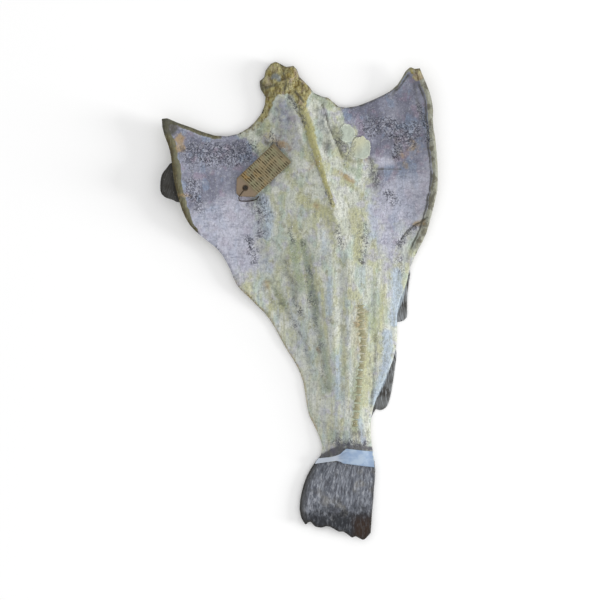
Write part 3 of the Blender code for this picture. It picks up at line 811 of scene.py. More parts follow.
lining_dark = f.mix(f.ramp(f_cloud, 0.4, 0.6), tone(110, 111, 126), tone(136, 138, 153))
lining_tone = f.mix(f.ramp(f.attribute("pale") + (f_spots - 0.5) * 0.5, 0.1, 0.9),
                    lining_dark, tone(171, 172, 185))
even = f.ramp(f.attribute("pale"), 0.4, 0.9, 0.45, 0.18)
lining_tone = f.mix(f.ramp(f_violet, 0.52, 0.64) * even, lining_tone, tone(142, 124, 140))
lining_tone = f.mix(f.ramp(f_hue, 0.46, 0.38) * even, lining_tone, tone(124, 142, 166))
lining_tone = f.mix(f.ramp(f_spots, 0.54, 0.64, 0.0, 0.2), lining_tone, tone(104, 106, 120))
lining_tone = f.mix(f.ramp(f_cross, 0.54, 0.62, 0.0, 0.4), lining_tone, tone(116, 118, 134))
surface = f.mix(ragged_mask("lining", 0.0, 0.95), meat, lining_tone)
surface = f.mix(f.ramp(f_fine, 0.56, 0.64) * 0.2, surface, tone(214, 216, 214))
surface = f.mix(ragged_mask("tendon", 0.25, 0.75) * 0.9, surface, tone(160, 156, 104))
rim_tone = f.mix(f.attribute("left"), tone(148, 149, 136), tone(86, 79, 54))
rim_tone = f.mix(f.ramp(f_spots, 0.5, 0.58, 0.0, 0.6), rim_tone, tone(74, 66, 46))
rim_tone = f.mix(f.attribute("inner") * f.attribute("left") * 0.75, rim_tone, tone(104, 104, 84))
rim_tone = f.mix(f.ramp(f_fibre, 0.46, 0.38, 0.0, 0.5), rim_tone, tone(132, 130, 104))
surface = f.mix(ragged_mask("rim", 0.35, 0.65), surface, rim_tone)
olive_tone = f.mix(f.ramp(f_spots, 0.4, 0.6), tone(140, 128, 74), tone(172, 166, 118))
olive_tone = f.mix(f.ramp(f_violet, 0.52, 0.6, 0.0, 0.6), olive_tone, tone(158, 142, 130))
olive_tone = f.mix(f.ramp(f_cloud, 0.48, 0.4, 0.0, 0.5), olive_tone, tone(116, 112, 84))
olive_tone = f.mix(f.ramp(f_fibre, 0.53, 0.6, 0.0, 0.75), olive_tone, tone(94, 80, 44))
olive_tone = f.mix(f.ramp(f_fibre, 0.46, 0.4, 0.0, 0.6), olive_tone, tone(186, 180, 132))
surface = f.mix(ragged_mask("olive"), surface, olive_tone)
# Real pink and brown stains, and the painted shadow line along the lower left edge.
surface = f.mix(ragged_mask("stain", 0.2, 0.85) * 0.75, surface, tone(158, 134, 94))
surface = f.mix(ragged_mask("blue", 0.3, 0.9) * f.attribute("olive") * 0.8, surface, tone(128, 136, 140))
# Colour of the dark marks and of the painted shade: grey-brown, and violet near the ribbon, where the ribbon's shadow
# is painted.
dark_tone = f.mix(f.ramp(f.attribute("tail_end"), 0.85, 0.92), tone(74, 73, 62),
                  tone(56, 54, 66))
surface = f.mix(ragged_mask("dark", 0.05, 0.85) * 0.85, surface, dark_tone)
calm = f.ramp(f.attribute("lining"), 0.2, 0.8, 0.25, 0.12)
surface = f.mix(f.ramp(f_grain, 0.44, 0.36) * calm, surface, tone(110, 112, 110))
surface = f.mix(f.ramp(f_fine, 0.44, 0.36) * calm, surface, tone(98, 100, 98))
surface = f.mix(f.crinkle(3.4, f_place, 0.06, 27.0) * netted * 0.5, surface, tone(196, 198, 204))
squiggle_tone = f.mix(f.attribute("olive"), tone(54, 56, 66), tone(66, 52, 26))
surface = f.mix(squiggles, surface, squiggle_tone)
f.feed("Base Color", surface)
f.feed("Roughness", f.ramp(f_grain, 0.3, 0.7, 0.68, 0.9))
f.bump(f_fine * 0.6 + f_grain + f_fibre * 0.7 - squiggles * 0.3
       + f.attribute("blocks") * 0.15, 1.4)
print("flesh finish:", len(f.tree.nodes), "nodes")

# %% [markdown]
# ## The skin side
#
# Turned over, the fish shows its skin: a dark, spotted back down the middle, flanks that
# get paler outwards, a whitish belly at both edges and the pale lateral line along each
# side. Where the back runs is drawn; the shares across are measured from it.

# %% Skin finish
BACK_LINE = [(310, -14), (240, 12), (120, 46), (0, 62), (-120, 66), (-250, 68)]
LATERAL_SHARE = 0.4            # how far out from the back the lateral line runs
back_x = np.interp(-fy, [-row[0] for row in BACK_LINE], [row[1] for row in BACK_LINE])
reach_left = np.interp(-fy, [-250, -140, -20, 120, 250], [190, 180, 160, 80, 32])
reach_right = np.interp(-fy, [-250, -140, -20, 120, 250], [170, 150, 110, 60, 42])
flank = np.abs(fx - back_x) / np.where(fx < back_x, reach_left, reach_right)
lateral = np.exp(-((flank - LATERAL_SHARE) * reach_left / 1.5) ** 2)
paint(flesh, flank=flank, lateral=lateral)
n = skin_finish = Finish("cod_skin", 0.55)
n_place = n.place()
n_cloud = n.noise(30.0, n_place, 3.0, 0.6)
n_spots = n.noise(7.0, n_place, 2.0, 0.5, 1.0)
n_fine = n.noise(2.4, n_place, 3.0, 0.6, 2.0)
n_scales = n.node("TexVoronoi", {}, {"Vector": n.stretched(n_place, 1.0, 0.7),
                                     "Scale": 1 / (2.6 * MM)}, "Distance")
n_flank = n.attribute("flank") + (n_cloud - 0.5) * 0.7
skin_tone = n.mix(n.ramp(n_flank, 0.1, 0.6), tone(88, 84, 66), tone(132, 128, 108))
skin_tone = n.mix(n.ramp(n_flank, 0.55, 0.95), skin_tone, tone(178, 176, 164))
skin_tone = n.mix(n.ramp(n_spots, 0.5, 0.58) * n.ramp(n_flank, 0.85, 0.5) * 0.8, skin_tone,
                  tone(66, 58, 40))
skin_tone = n.mix(n.attribute("lateral") * 0.7, skin_tone, tone(176, 172, 150))
skin_tone = n.mix(n.ramp(n_scales, 0.35, 0.6) * 0.35, skin_tone, tone(60, 58, 48))
skin_tone = n.mix(n.ramp(n_fine, 0.56, 0.66) * 0.3, skin_tone, tone(206, 206, 198))
n.feed("Base Color", skin_tone)
n.feed("Roughness", n.ramp(n_fine, 0.3, 0.7, 0.45, 0.7))
n.bump(n_fine * 0.5 - n_scales * 0.6 + n_spots, 0.8)
for finish in (flesh_finish, skin_finish):
    flesh.data.materials.append(finish.material)
print("skin finish:", len(n.tree.nodes), "nodes")

# %% [markdown]
# ## The tail fin
#
# Behind the ribbon the body ends in the tail fin: stiff rays that fork on their way out,
# with thin dark skin dried down between them and a frayed end. It is a sheet again, with
# finer squares. Two measures are stored on it for the rays to follow: the share of the
# way across, and how far along.

# %% Tail fin
TAIL_STEP = 1.15 * MM
TAIL_ROOT = -231 * MM
TAIL_WALL = 1.7                # thickness in millimetres, less at the end
TAIL_LEFT = [(-360, 12), (-338, 9), (-329, 3), (-313, 0), (-290, 3), (-265, 11),
             (-243, 24), (-225, 35)]
TAIL_RIGHT = [(-360, 107), (-337, 108), (-320, 109), (-301, 111), (-283, 112),
              (-262, 114), (-243, 113), (-225, 110)]
TAIL_RAYS = 24


def at_height(table, y):
    """A side of the tail, drawn as (y, x), at every y."""
    return np.interp(y, [row[0] for row in table], [row[1] for row in table])


def middle_heights(bm, easing):
    """The height halfway between flesh and skin at every point, without facets."""
    low = settled_heights(bm, 1)
    return (settled_heights(bm, 0) + low) / 2


tail_bm = cut_sheet(TAIL_STEP, lambda x, y: y < TAIL_ROOT and on_fish(x, y),
                    Vector((COD_LOW.x * 0.1, COD_LOW.y)), Vector((0.125, TAIL_ROOT + 0.002)))
tail_middle = middle_heights(tail_bm, HEIGHT_EASING)
tail_edge = distance_from_edge(tail_bm)
tail_drawing = Drawing(np.array([vert.co[:] for vert in tail_bm.verts]))
tx, ty = tail_drawing.x, tail_drawing.y
tail_across = (tx - at_height(TAIL_LEFT, ty)) / (at_height(TAIL_RIGHT, ty)
                                                 - at_height(TAIL_LEFT, ty))
tail_across = tail_across + 0.008 * tail_drawing.lumps(16, 2, 21.0)
tail_along = (-231 - ty) / 125
forked = eased(0.4, 0.75, tail_along)
rays = (1 - forked) * np.abs(np.sin(math.pi * TAIL_RAYS * tail_across))
rays = rays + forked * np.abs(np.sin(2 * math.pi * TAIL_RAYS * tail_across))
wall = TAIL_WALL * (1 - 0.55 * eased(0.3, 1.0, tail_along)) * np.clip(
    0.35 + tail_edge / 3, 0, 1)
tail_waves = 0.8 * tail_drawing.lumps(30, 2, 22.0) * eased(0.1, 0.8, tail_along)
tail_top = tail_middle + MM * (wall / 2 + 0.45 * (rays - 0.5) + tail_waves)
tail_low = tail_middle - MM * (wall / 2 + 0.3 * (rays - 0.5) - tail_waves)
close_sheet(tail_bm, tail_top, np.minimum(tail_low, tail_top - 0.3 * MM))
tail = piece_from(tail_bm, "tail_fin", [])
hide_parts("cod")
frayed = eased(0.5, 0.88, tail_along + 0.1 * tail_drawing.lumps(10, 3, 23.0))
corner = eased(0.66, 0.8, tail_across) * eased(0.68, 0.86, tail_along)
paint(tail, across=tail_across, along=tail_along, rays=rays, frayed=frayed,
      corner=corner, edge=eased(5, 1, tail_edge),
      left_edge=eased(0.13, 0.03, tail_across))

# %% Tail finish
t = tail_finish = Finish("tail_fin", 0.62)
t_place = t.place()
t_lines = t.vector(t.attribute("across") * 0.11, t.attribute("along") * 0.03)
t_ray = t.noise(2.2, t_lines, 3.0)
t_wide = t.noise(7.5, t_lines, 2.0)
t_fine = t.noise(3.0, t_place, 4.0, 0.6)
t_flecks = t.noise(3.2, t.stretched(t_place, 1.0, 0.35), 2.0, 0.6, 5.0)
t_cloud = t.noise(22.0, t_place, 2.0)
fin_tone = t.mix(t.ramp(t_wide, 0.35, 0.65), tone(82, 86, 94), tone(118, 122, 130))
fin_tone = t.mix(t.ramp(t_ray, 0.52, 0.68) * 0.5, fin_tone, tone(162, 164, 176))
fin_tone = t.mix(t.ramp(t_ray, 0.46, 0.34) * 0.7, fin_tone, tone(58, 58, 66))
fin_tone = t.mix(t.ramp(t_cloud, 0.52, 0.68, 0.0, 0.5), fin_tone, tone(112, 108, 98))
fin_tone = t.mix(t.ramp(t_flecks, 0.54, 0.62) * 0.6, fin_tone, tone(66, 66, 72))
fin_tone = t.mix(t.ramp(t_flecks, 0.44, 0.36) * 0.4, fin_tone, tone(176, 178, 184))
darkened = t.ramp(t.attribute("frayed") + (t_fine - 0.5) * 1.2, 0.1, 0.9)
fin_tone = t.mix(darkened * t.ramp(t_flecks, 0.4, 0.5, 0.7, 0.95), fin_tone, tone(38, 40, 44))
fin_tone = t.mix(t.attribute("left_edge") * 0.8, fin_tone, tone(52, 52, 52))
fin_tone = t.mix(t.attribute("corner") * t.ramp(t_flecks, 0.4, 0.5, 0.7, 0.95), fin_tone,
                 tone(48, 34, 24))
fin_tone = t.mix(t.attribute("edge") * 0.6, fin_tone, tone(44, 42, 38))
t.feed("Base Color", fin_tone)
t.feed("Roughness", t.ramp(t_fine, 0.3, 0.7, 0.5, 0.75))
t.bump(t_ray + t_fine * 0.4, 0.8)
tail.data.materials.append(tail_finish.material)
tail.data.materials.append(tail_finish.material)
print("tail finish:", len(t.tree.nodes), "nodes")

# %% [markdown]
# ## The side fins
#
# Three fins stick out from under the edge: a pectoral fin beside the left flap and two
# anal fins on the right. They are dried flat against the skin, so each is a thin ribbed
# sheet that follows the skin side, its root hidden under the flesh.

# %% Side fins
FIN_STEP = 1.1 * MM
SIDE_FINS = {                  # outline with room around it, and which way the rays run
    "pectoral_fin": ([(-186, 210), (-215, 205), (-218, 150), (-196, 146), (-176, 140),
                      (-162, 156), (-160, 176), (-168, 198)], (-0.35, -1.0)),
    "front_anal_fin": ([(146, 60), (172, 50), (170, -36), (146, -38), (132, -26),
                        (128, 6), (134, 36)], (0.12, -1.0)),
    "rear_anal_fin": ([(134, -62), (154, -70), (152, -150), (124, -172), (104, -184),
                       (96, -176), (98, -150), (108, -120), (122, -86)], (0.1, -1.0)),
}
FIN_THICK = 1.5


def inside(outline, x, y):
    """Whether a place is inside a drawn outline."""
    found = False
    for (ax, ay), (bx, by) in zip(outline, outline[1:] + outline[:1]):
        if (ay > y) != (by > y) and x < ax + (y - ay) * (bx - ax) / (by - ay):
            found = not found
    return found


def side_fin(name, outline, lean):
    """A ribbed fin that lies against the skin side and comes out from under the edge."""
    corners = [Vector((x, y)) * MM for x, y in outline]
    low = Vector((min(c.x for c in corners), min(c.y for c in corners)))
    high = Vector((max(c.x for c in corners), max(c.y for c in corners)))
    bm = cut_sheet(FIN_STEP, lambda x, y: on_fish(x, y) and inside(outline, x / MM, y / MM),
                   low, high)
    hidden = np.array([1.0 if on_body(v.co.x, v.co.y) else 0.0 for v in bm.verts])
    under = settled_heights(bm, 1) + (0.7 * MM) * hidden
    edge = distance_from_edge(bm)
    drawing = Drawing(np.array([vert.co[:] for vert in bm.verts]))
    lean_x, lean_y = Vector(lean).normalized()
    across = drawing.x * lean_y - drawing.y * lean_x
    along = -(drawing.x * lean_x + drawing.y * lean_y)
    ribs = np.abs(np.sin(math.pi * (across + 0.9 * drawing.lumps(14, 2, 31.0)) / 3.4))
    thick = FIN_THICK * np.clip(0.3 + edge / 2.5, 0, 1) * (0.6 + 0.4 * ribs)
    under = under + 0.35 * MM * drawing.lumps(18, 2, 32.0) * (1 - hidden)
    under = np.maximum(under, COD_LOW.z)
    close_sheet(bm, under + thick * MM, under)
    fin = piece_from(bm, name, [])
    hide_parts("cod")
    paint(fin, across=across / 100, along=along / 100, edge=eased(5, 1, edge),
          hidden=hidden)
    return fin, drawing, edge


pectoral, pectoral_drawing, _ = side_fin("pectoral_fin", *SIDE_FINS["pectoral_fin"])
front_anal, front_drawing, _ = side_fin("front_anal_fin", *SIDE_FINS["front_anal_fin"])
rear_anal, rear_drawing, _ = side_fin("rear_anal_fin", *SIDE_FINS["rear_anal_fin"])
paint(pectoral, pale=0 * pectoral_drawing.x, deep=0 * pectoral_drawing.x + 1)
paint(front_anal, pale=front_drawing.patch(
    [(120, 70), (160, 62), (160, 20), (156, 0), (148, -18), (120, -24)], 3.5))
paint(rear_anal, pale=rear_drawing.patch(
    [(110, -60), (138, -66), (138, -95), (130, -122), (118, -146), (100, -150)], 3.5))
print("side fins: three")

# %% Fin finish
w = fin_finish = Finish("side_fin", 0.6)
w_place = w.place()
w_lines = w.vector(w.attribute("across") * 0.1, w.attribute("along") * 0.012)
w_ray = w.noise(2.2, w_lines, 3.0)
w_fine = w.noise(3.0, w_place, 4.0, 0.6)
w_cloud = w.noise(16.0, w_place, 2.0)
dark_fin = w.mix(w.ramp(w_cloud, 0.35, 0.65), tone(58, 56, 52), tone(104, 106, 106))
dark_fin = w.mix(w.ramp(w_ray, 0.5, 0.62) * 0.7, dark_fin, tone(150, 154, 158))
dark_fin = w.mix(w.attribute("deep") * 0.9, dark_fin, tone(38, 36, 32))
pale_fin = w.mix(w.ramp(w_ray, 0.4, 0.62), tone(138, 148, 158), tone(176, 186, 192))
side_tone = w.mix(w.ramp(w.attribute("pale") + (w_fine - 0.5) * 0.6, 0.3, 0.7),
                  dark_fin, pale_fin)
side_tone = w.mix(w.ramp(w_fine, 0.6, 0.75) * 0.3, side_tone, tone(200, 202, 204))
w.feed("Base Color", side_tone)
w.feed("Roughness", w.ramp(w_fine, 0.3, 0.7, 0.5, 0.72))
w.bump(w_ray + w_fine * 0.4, 0.8)
for fin in (pectoral, front_anal, rear_anal):
    fin.data.materials.append(fin_finish.material)
    fin.data.materials.append(fin_finish.material)
print("fin finish:", len(w.tree.nodes), "nodes")

# %% [markdown]
# ## The ribbon round the tail
#
# A strip of pale blue ribbon is wound once round the root of the tail. On the left it is
# pulled narrow, on the right it lies flat with fine creases. Tables give where it runs,
# rays on the fish's solid give the tail's sides and heights under it, and rings of points
# laid on it are bridged to a band.

# %% Ribbon
RIBBON_OVER = [(0.0, -242, 4.2), (0.2, -239.5, 3.6), (0.34, -236.5, 4.6), (0.42, -234.6, 8.2),
               (0.47, -234, 11.2), (1.0, -239.5, 12.0)]      # (share, middle, half width)
RIBBON_UNDER = [(0.0, -241, 4.2), (1.0, -239.5, 12.0)]
RIBBON_LINES, RIBBON_STEPS = 12, 56
RIBBON_WALL, RIBBON_GAP = 0.35, 1.0


def tail_side(y, side):
    """How far out the tail goes on one side, at a place along the fish."""
    return find_edge(Vector((72 * MM, y, 0)), Vector((side, 0, 0)), 70 * MM, on_fish).x


def ribbon_line(offset):
    """One line round the tail, offset of a half width from the ribbon's middle."""
    over, under = [], []
    for step in range(RIBBON_STEPS + 1):
        share = 0.5 - 0.5 * math.cos(math.pi * step / RIBBON_STEPS)
        for table, line, which in ((RIBBON_OVER, over, 0), (RIBBON_UNDER, under, 1)):
            shares = [row[0] for row in table]
            middle_y = np.interp(share, shares, [row[1] for row in table])
            half = np.interp(share, shares, [row[2] for row in table])
            y = float(middle_y + offset * half) * MM
            left, right = tail_side(y, -1), tail_side(y, 1)
            x = left + (right - left) * (0.02 + 0.96 * share)
            felt = heights(x, y)[which]
            crease = noise.noise(Vector((x / MM / 26 + offset * 1.4, offset * 3.1, 7.0)))
            pleat = math.sin(offset * 9 + 5 * crease) * math.exp(-((share - 0.43) / 0.12) ** 2)
            lift = RIBBON_GAP + (0.5 * crease + 0.5 * pleat) * math.sin(math.pi * share)
            x += RIBBON_GAP * MM * (2 * share - 1)
            line.append(Vector((x, y, felt + (lift, -RIBBON_GAP)[which] * MM)))
    return over + under[::-1]


ribbon_bm = bmesh.new()
pulled = ribbon_bm.verts.layers.float.new("pulled")
rings = []
for line in range(RIBBON_LINES + 1):
    ring = [ribbon_bm.verts.new(p) for p in ribbon_line(2 * line / RIBBON_LINES - 1)]
    for vert in ring:
        vert[pulled] = float(eased(66 * MM, 54 * MM, vert.co.x))
    rings.append([ribbon_bm.edges.new(pair) for pair in zip(ring, ring[1:] + ring[:1])])
around = sum(edge.calc_length() for edge in rings[RIBBON_LINES // 2])
print("ribbon:", round(around / MM), "mm round the tail")
for lower, upper in zip(rings, rings[1:]):
    bmesh.ops.bridge_loops(ribbon_bm, edges=lower + upper)
bmesh.ops.recalc_face_normals(ribbon_bm, faces=ribbon_bm.faces)
bmesh.ops.solidify(ribbon_bm, geom=ribbon_bm.faces[:], thickness=RIBBON_WALL * MM)
bmesh.ops.recalc_face_normals(ribbon_bm, faces=ribbon_bm.faces)
r = ribbon_finish = Finish("pale_ribbon", 0.42)
r_place = r.place()
r_threads = r.noise(1.6, r.node("VectorMath", {"operation": "MULTIPLY"},
                                {0: r_place, 1: (0.1, 1.0, 1.0)}), 2.0)
r_cloud = r.noise(14.0, r_place, 2.0)
ribbon_tone = r.mix(r.ramp(r_cloud, 0.35, 0.65), tone(132, 151, 177), tone(156, 172, 190))
ribbon_tone = r.mix(r.ramp(r_threads, 0.55, 0.75) * 0.5, ribbon_tone, tone(176, 190, 206))
ribbon_tone = r.mix(r.attribute("pulled") * 0.8, ribbon_tone, tone(186, 192, 202))
r.feed("Base Color", ribbon_tone)
r.feed("Roughness", r.ramp(r_cloud, 0.3, 0.7, 0.35, 0.55))
r.bump(r_threads, 0.3)
ribbon = piece_from(ribbon_bm, "tail_ribbon", [ribbon_finish.material])
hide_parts("tail_band")

# %% [markdown]
# ## The card tag
#
# The tag is kraft card with two corners cut off and a punched hole at that end. It is
# cut from a sheet lined up with its own edges, and then turned to its place, so its
# long sides stay straight. Where the card is, and how it tilts, is felt with rays.

# %% Card
TAG_LENGTH, TAG_WIDTH, TAG_WALL = 92.0, 39.0, 0.6
TAG_CENTRE = Vector((-59, 189, 0))
TAG_TURN = math.radians(43)
HOLE_AT = -30.5                # millimetres along the card from its middle
TAG_STEP = 1.0 * MM
TAG = solid_of("paper_tag")
tag_place = Matrix.Translation(TAG_CENTRE * MM) @ Matrix.Rotation(TAG_TURN, 4, "Z")


def tag_hit(along, across):
    """The card's upper face at a place along and across it, or None beside it."""
    spot = tag_place @ Vector((along, across, 0))
    return TAG.ray_cast(Vector((spot.x, spot.y, FAR)), DOWN)[0]


half_tag = Vector((TAG_LENGTH, TAG_WIDTH, 0)) * MM * 0.52
tag_bm = cut_sheet(TAG_STEP, lambda x, y: tag_hit(x, y) is not None, -half_tag, half_tag)
tag_u = np.array([vert.co.x for vert in tag_bm.verts]) / MM
tag_v = np.array([vert.co.y for vert in tag_bm.verts]) / MM
tag_face = np.array([tag_hit(v.co.x, v.co.y).z for v in tag_bm.verts])
bow = 0.8 * (tag_u / (TAG_LENGTH / 2)) ** 2 + 0.25 * np.sin(tag_u / 13.0) * (tag_v / 19)
close_sheet(tag_bm, tag_face + bow * MM, tag_face + (bow - TAG_WALL) * MM)
bmesh.ops.transform(tag_bm, matrix=tag_place, verts=tag_bm.verts)
tag = piece_from(tag_bm, "card_tag", [])
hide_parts("paper_tag")
# The punched mask is painted shade: a dark ring on the card round the punched hole.
paint(tag, along=tag_u / 100, across=tag_v / 100,
      worn=eased(3.5, 0.5, np.minimum(TAG_LENGTH / 2 - np.abs(tag_u),
                                      TAG_WIDTH / 2 - np.abs(tag_v))),
      punched=eased(5.2, 4.0, np.hypot(tag_u - HOLE_AT, tag_v)))

# %% Card finish
k = card_finish = Finish("kraft_card", 0.85)
k_place = k.place()
k_fibre = k.noise(2.4, k_place, 4.0, 0.7)
k_cloud = k.noise(18.0, k_place, 2.0)
k_blot = k.noise(13.0, k_place, 2.0, 0.5, 3.0)
k_along, k_across = k.attribute("along"), k.attribute("across")
STROKE_PITCH, ROW_PITCH = 3.6, 12.5    # millimetres between strokes and between rows
strokes = k.node("Math", {"operation": "SINE"}, {
    0: k_along * (2 * math.pi * 100 / STROKE_PITCH) + k_across * 9})
uneven = k.noise(16.0, k.vector(k_along * 0.1, k_across * 0.1), 1.0, 0.5, 5.0)
rows = k.node("Math", {"operation": "SINE"}, {
    0: k_across * (2 * math.pi * 100 / ROW_PITCH) + uneven * 9})
letters = k.noise(3.4, k.vector(k_along * 0.1, k_across * 0.03), 2.0)
print_zone = k.ramp(k_along, -0.24, -0.22) * k.ramp(k_along, 0.44, 0.4)
marks = k.ramp(strokes + (letters - 0.5) * 7, 0.2, 0.9) * k.ramp(rows + (letters - 0.5) * 4, -0.7, -0.3)
dashes = marks * print_zone
card_tone = k.mix(k.ramp(k_cloud, 0.4, 0.6), tone(112, 104, 82), tone(130, 120, 94))
card_tone = k.mix(k.ramp(k_along, -0.2, -0.3), card_tone, tone(132, 116, 98))
card_tone = k.mix(k.ramp(k_blot, 0.5, 0.58) * print_zone * k.ramp(k_along, 0.05, -0.15, 0.15, 0.7), card_tone,
                  tone(142, 112, 62))
card_tone = k.mix(k.ramp(k_blot, 0.46, 0.36) * print_zone * 0.6, card_tone, tone(122, 124, 96))
card_tone = k.mix(k.ramp(k_fibre, 0.55, 0.75) * 0.4, card_tone, tone(150, 140, 118))
card_tone = k.mix(k.ramp(k_fibre, 0.42, 0.3) * 0.5, card_tone, tone(92, 82, 66))
card_tone = k.mix(dashes * 0.85, card_tone, tone(52, 42, 26))
# Painted highlight: pale lines between the printed strokes.
card_tone = k.mix(k.ramp(strokes, -0.3, -0.8) * print_zone * 0.35, card_tone,
                  tone(170, 160, 128))
card_tone = k.mix(k.attribute("worn") * 0.5, card_tone, tone(104, 92, 72))
# Painted shade round the hole.
card_tone = k.mix(k.attribute("punched") * 0.9, card_tone, tone(46, 34, 20))
k.feed("Base Color", card_tone)
k.feed("Roughness", k.ramp(k_fibre, 0.3, 0.7, 0.78, 0.92))
k.bump(k_fibre, 0.35)
tag.data.materials.append(card_finish.material)
tag.data.materials.append(card_finish.material)
print("card finish:", len(k.tree.nodes), "nodes")

# %% [markdown]
# ## The thread
#
# Dark thread holds the tag: up through the hole, over the cut end and along it on the
# flesh. Its facts come first: 1.4 mm thick, two plies, and 60 mm of it to be seen. Each
# ply is a ring of points drawn along the route while it winds round the other.

# %% Thread
PLY_RADIUS, PLY_TURN = 0.42, 3.2       # millimetres: a ply's thickness, one full twist
THREAD_STEP = 0.4


def flesh_at(along, across, above=0.0):
    """A point of the flesh below the tag's own plane, in the fish's frame."""
    spot = tag_place @ (Vector((along, across, 0)) * MM)
    hit = COD_SOLID.ray_cast(Vector((spot.x, spot.y, FAR)), DOWN)[0]
    return hit + Vector((0, 0, (above + 1.1) * MM))


def tag_at(along, across, above):
    """A point over the tag's upper face, also a little way past its end."""
    inner = tag_hit(max(along, -40.0) * MM, 5.0 * MM)
    spot = tag_place @ (Vector((along, across, 0)) * MM)
    return Vector((spot.x, spot.y, inner.z + above * MM))


def smooth_route(points, step):
    """Close-set points of the smooth curve through a few, step metres apart."""
    ends = [2 * points[0] - points[1]] + points + [2 * points[-1] - points[-2]]
    close = []
    for a, b, c, d in zip(ends, ends[1:], ends[2:], ends[3:]):
        spans = max(2, round((c - b).length / step))
        for i in range(spans):
            s = i / spans
            close.append(0.5 * (2 * b + (c - a) * s + (2 * a - 5 * b + 4 * c - d) * s ** 2
                                + (3 * b - a - 3 * c + d) * s ** 3))
    return close + [points[-1]]


def drawn_tube(bm, route, radius, sides):
    """A ring drawn along a route, with both of its ends closed."""
    ring = bmesh.ops.create_circle(bm, cap_ends=True, segments=sides, radius=1.0)["verts"]
    edges = list({edge for vert in ring for edge in vert.link_edges})
    drawn = [vert.co.copy() for vert in ring]
    for index, centre in enumerate(route):
        ahead = route[min(index + 1, len(route) - 1)] - route[max(index - 1, 0)]
        turn = ahead.to_track_quat("Z", "Y").to_matrix()
        if index:
            grown = bmesh.ops.extrude_edge_only(bm, edges=edges)["geom"]
            ring = [item for item in grown if isinstance(item, bmesh.types.BMVert)]
            edges = [item for item in grown if isinstance(item, bmesh.types.BMEdge)
                     and item.verts[0] in ring and item.verts[1] in ring]
        size = radius(index / (len(route) - 1)) if callable(radius) else radius
        for vert, at in zip(ring, drawn):
            vert.co = centre + turn @ (at * size)
    bmesh.ops.contextual_create(bm, geom=edges)


thread_route = smooth_route([
    flesh_at(-30.5, 0, -1.0), tag_at(-30.5, 0, 0.0), tag_at(-34, -1, 1.7), tag_at(-43, -2.5, 1.7),
    tag_at(-47.5, -4, 0.6), flesh_at(-49.5, -8), flesh_at(-45.5, -13), flesh_at(-40, -18),
    flesh_at(-34, -22), flesh_at(-29, -23.5), flesh_at(-24, -23)], THREAD_STEP * MM)
thread_length = sum((b - a).length for a, b in zip(thread_route, thread_route[1:]))
print("thread:", round(thread_length / MM), "mm along its middle")
thread_bm = bmesh.new()
for ply in (0, math.pi):
    wound = []
    for index, centre in enumerate(thread_route):
        ahead = (thread_route[min(index + 1, len(thread_route) - 1)]
                 - thread_route[max(index - 1, 0)])
        turn = ahead.to_track_quat("Z", "Y").to_matrix()
        angle = ply + 2 * math.pi * index * THREAD_STEP / PLY_TURN
        wound.append(centre + turn @ Vector((math.cos(angle), math.sin(angle), 0))
                     * (0.85 * PLY_RADIUS * MM))
    drawn_tube(thread_bm, wound, PLY_RADIUS * MM, 7)
bmesh.ops.recalc_face_normals(thread_bm, faces=thread_bm.faces)
th = thread_finish = Finish("dark_thread", 0.8)
th_fine = th.noise(1.2, th.place(), 3.0)
th.feed("Base Color", th.mix(th_fine, tone(30, 24, 18), tone(76, 64, 50)))
th.bump(th_fine, 0.2)
thread = piece_from(thread_bm, "twisted_thread", [thread_finish.material])
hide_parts("tag_thread")


# %% [markdown]
# ## Dried membranes
#
# Two scraps of clear membrane lie beside the neck, stuck down and a little curled at
# their rims. Each is a small sheet cut to a rounded outline that wobbles, laid on the
# finished flesh by rays.

# %% Membranes
def tree_of_piece(piece):
    bm = bmesh.new()
    bm.from_mesh(piece.data)
    tree = BVHTree.FromBMesh(bm)
    bm.free()
    return tree


FLESH = tree_of_piece(flesh)


def flesh_height(x, y):
    """Height of the finished flesh, with its relief."""
    hit = FLESH.ray_cast(Vector((x, y, FAR)), DOWN)[0]
    return hit.z if hit else None


def membrane(name, centre, size, seed):
    """A thin scrap that follows the flesh and curls up at its rim."""
    middle = Vector(centre) * MM

    def within(x, y):
        away = Vector((x / MM - centre[0], y / MM - centre[1], 0))
        around = away.normalized() * 2.2 + Vector((0, 0, seed))
        wobble = 1.0 + 0.18 * noise.noise(around) + 0.12 * noise.noise(3 * around)
        return math.hypot(away.x / size[0], away.y / size[1]) < wobble / 2

    reach = Vector(size) * MM * 0.75
    bm = cut_sheet(1.1 * MM, within, middle - reach, middle + reach)
    for vert in bm.verts:
        vert.co.z = flesh_height(vert.co.x, vert.co.y)
    for _ in range(6):
        bmesh.ops.smooth_vert(bm, verts=bm.verts, factor=0.5, use_axis_z=True)
    edge = distance_from_edge(bm)
    drawing = Drawing(np.array([vert.co[:] for vert in bm.verts]))
    lying = np.array([vert.co.z for vert in bm.verts])
    curl = 0.7 + 0.5 * eased(4, 0, edge) + 0.5 * drawing.lumps(7, 2, seed)
    close_sheet(bm, lying + curl * MM, lying + (curl - 0.4) * MM)
    scrap = piece_from(bm, name, [])
    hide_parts("cod")
    blend = eased(0.1, -0.6, (drawing.x - centre[0]) / size[0] + 0.3 * drawing.lumps(9, 2, 4.0))
    paint(scrap, edge=eased(3, 0.5, edge), yellow=(name == "rear_membrane")
          * eased(0.4, -0.4, (drawing.x - centre[0] - drawing.y + centre[1]) / size[0]),
          blend=blend * eased(12, 1, edge))
    return scrap


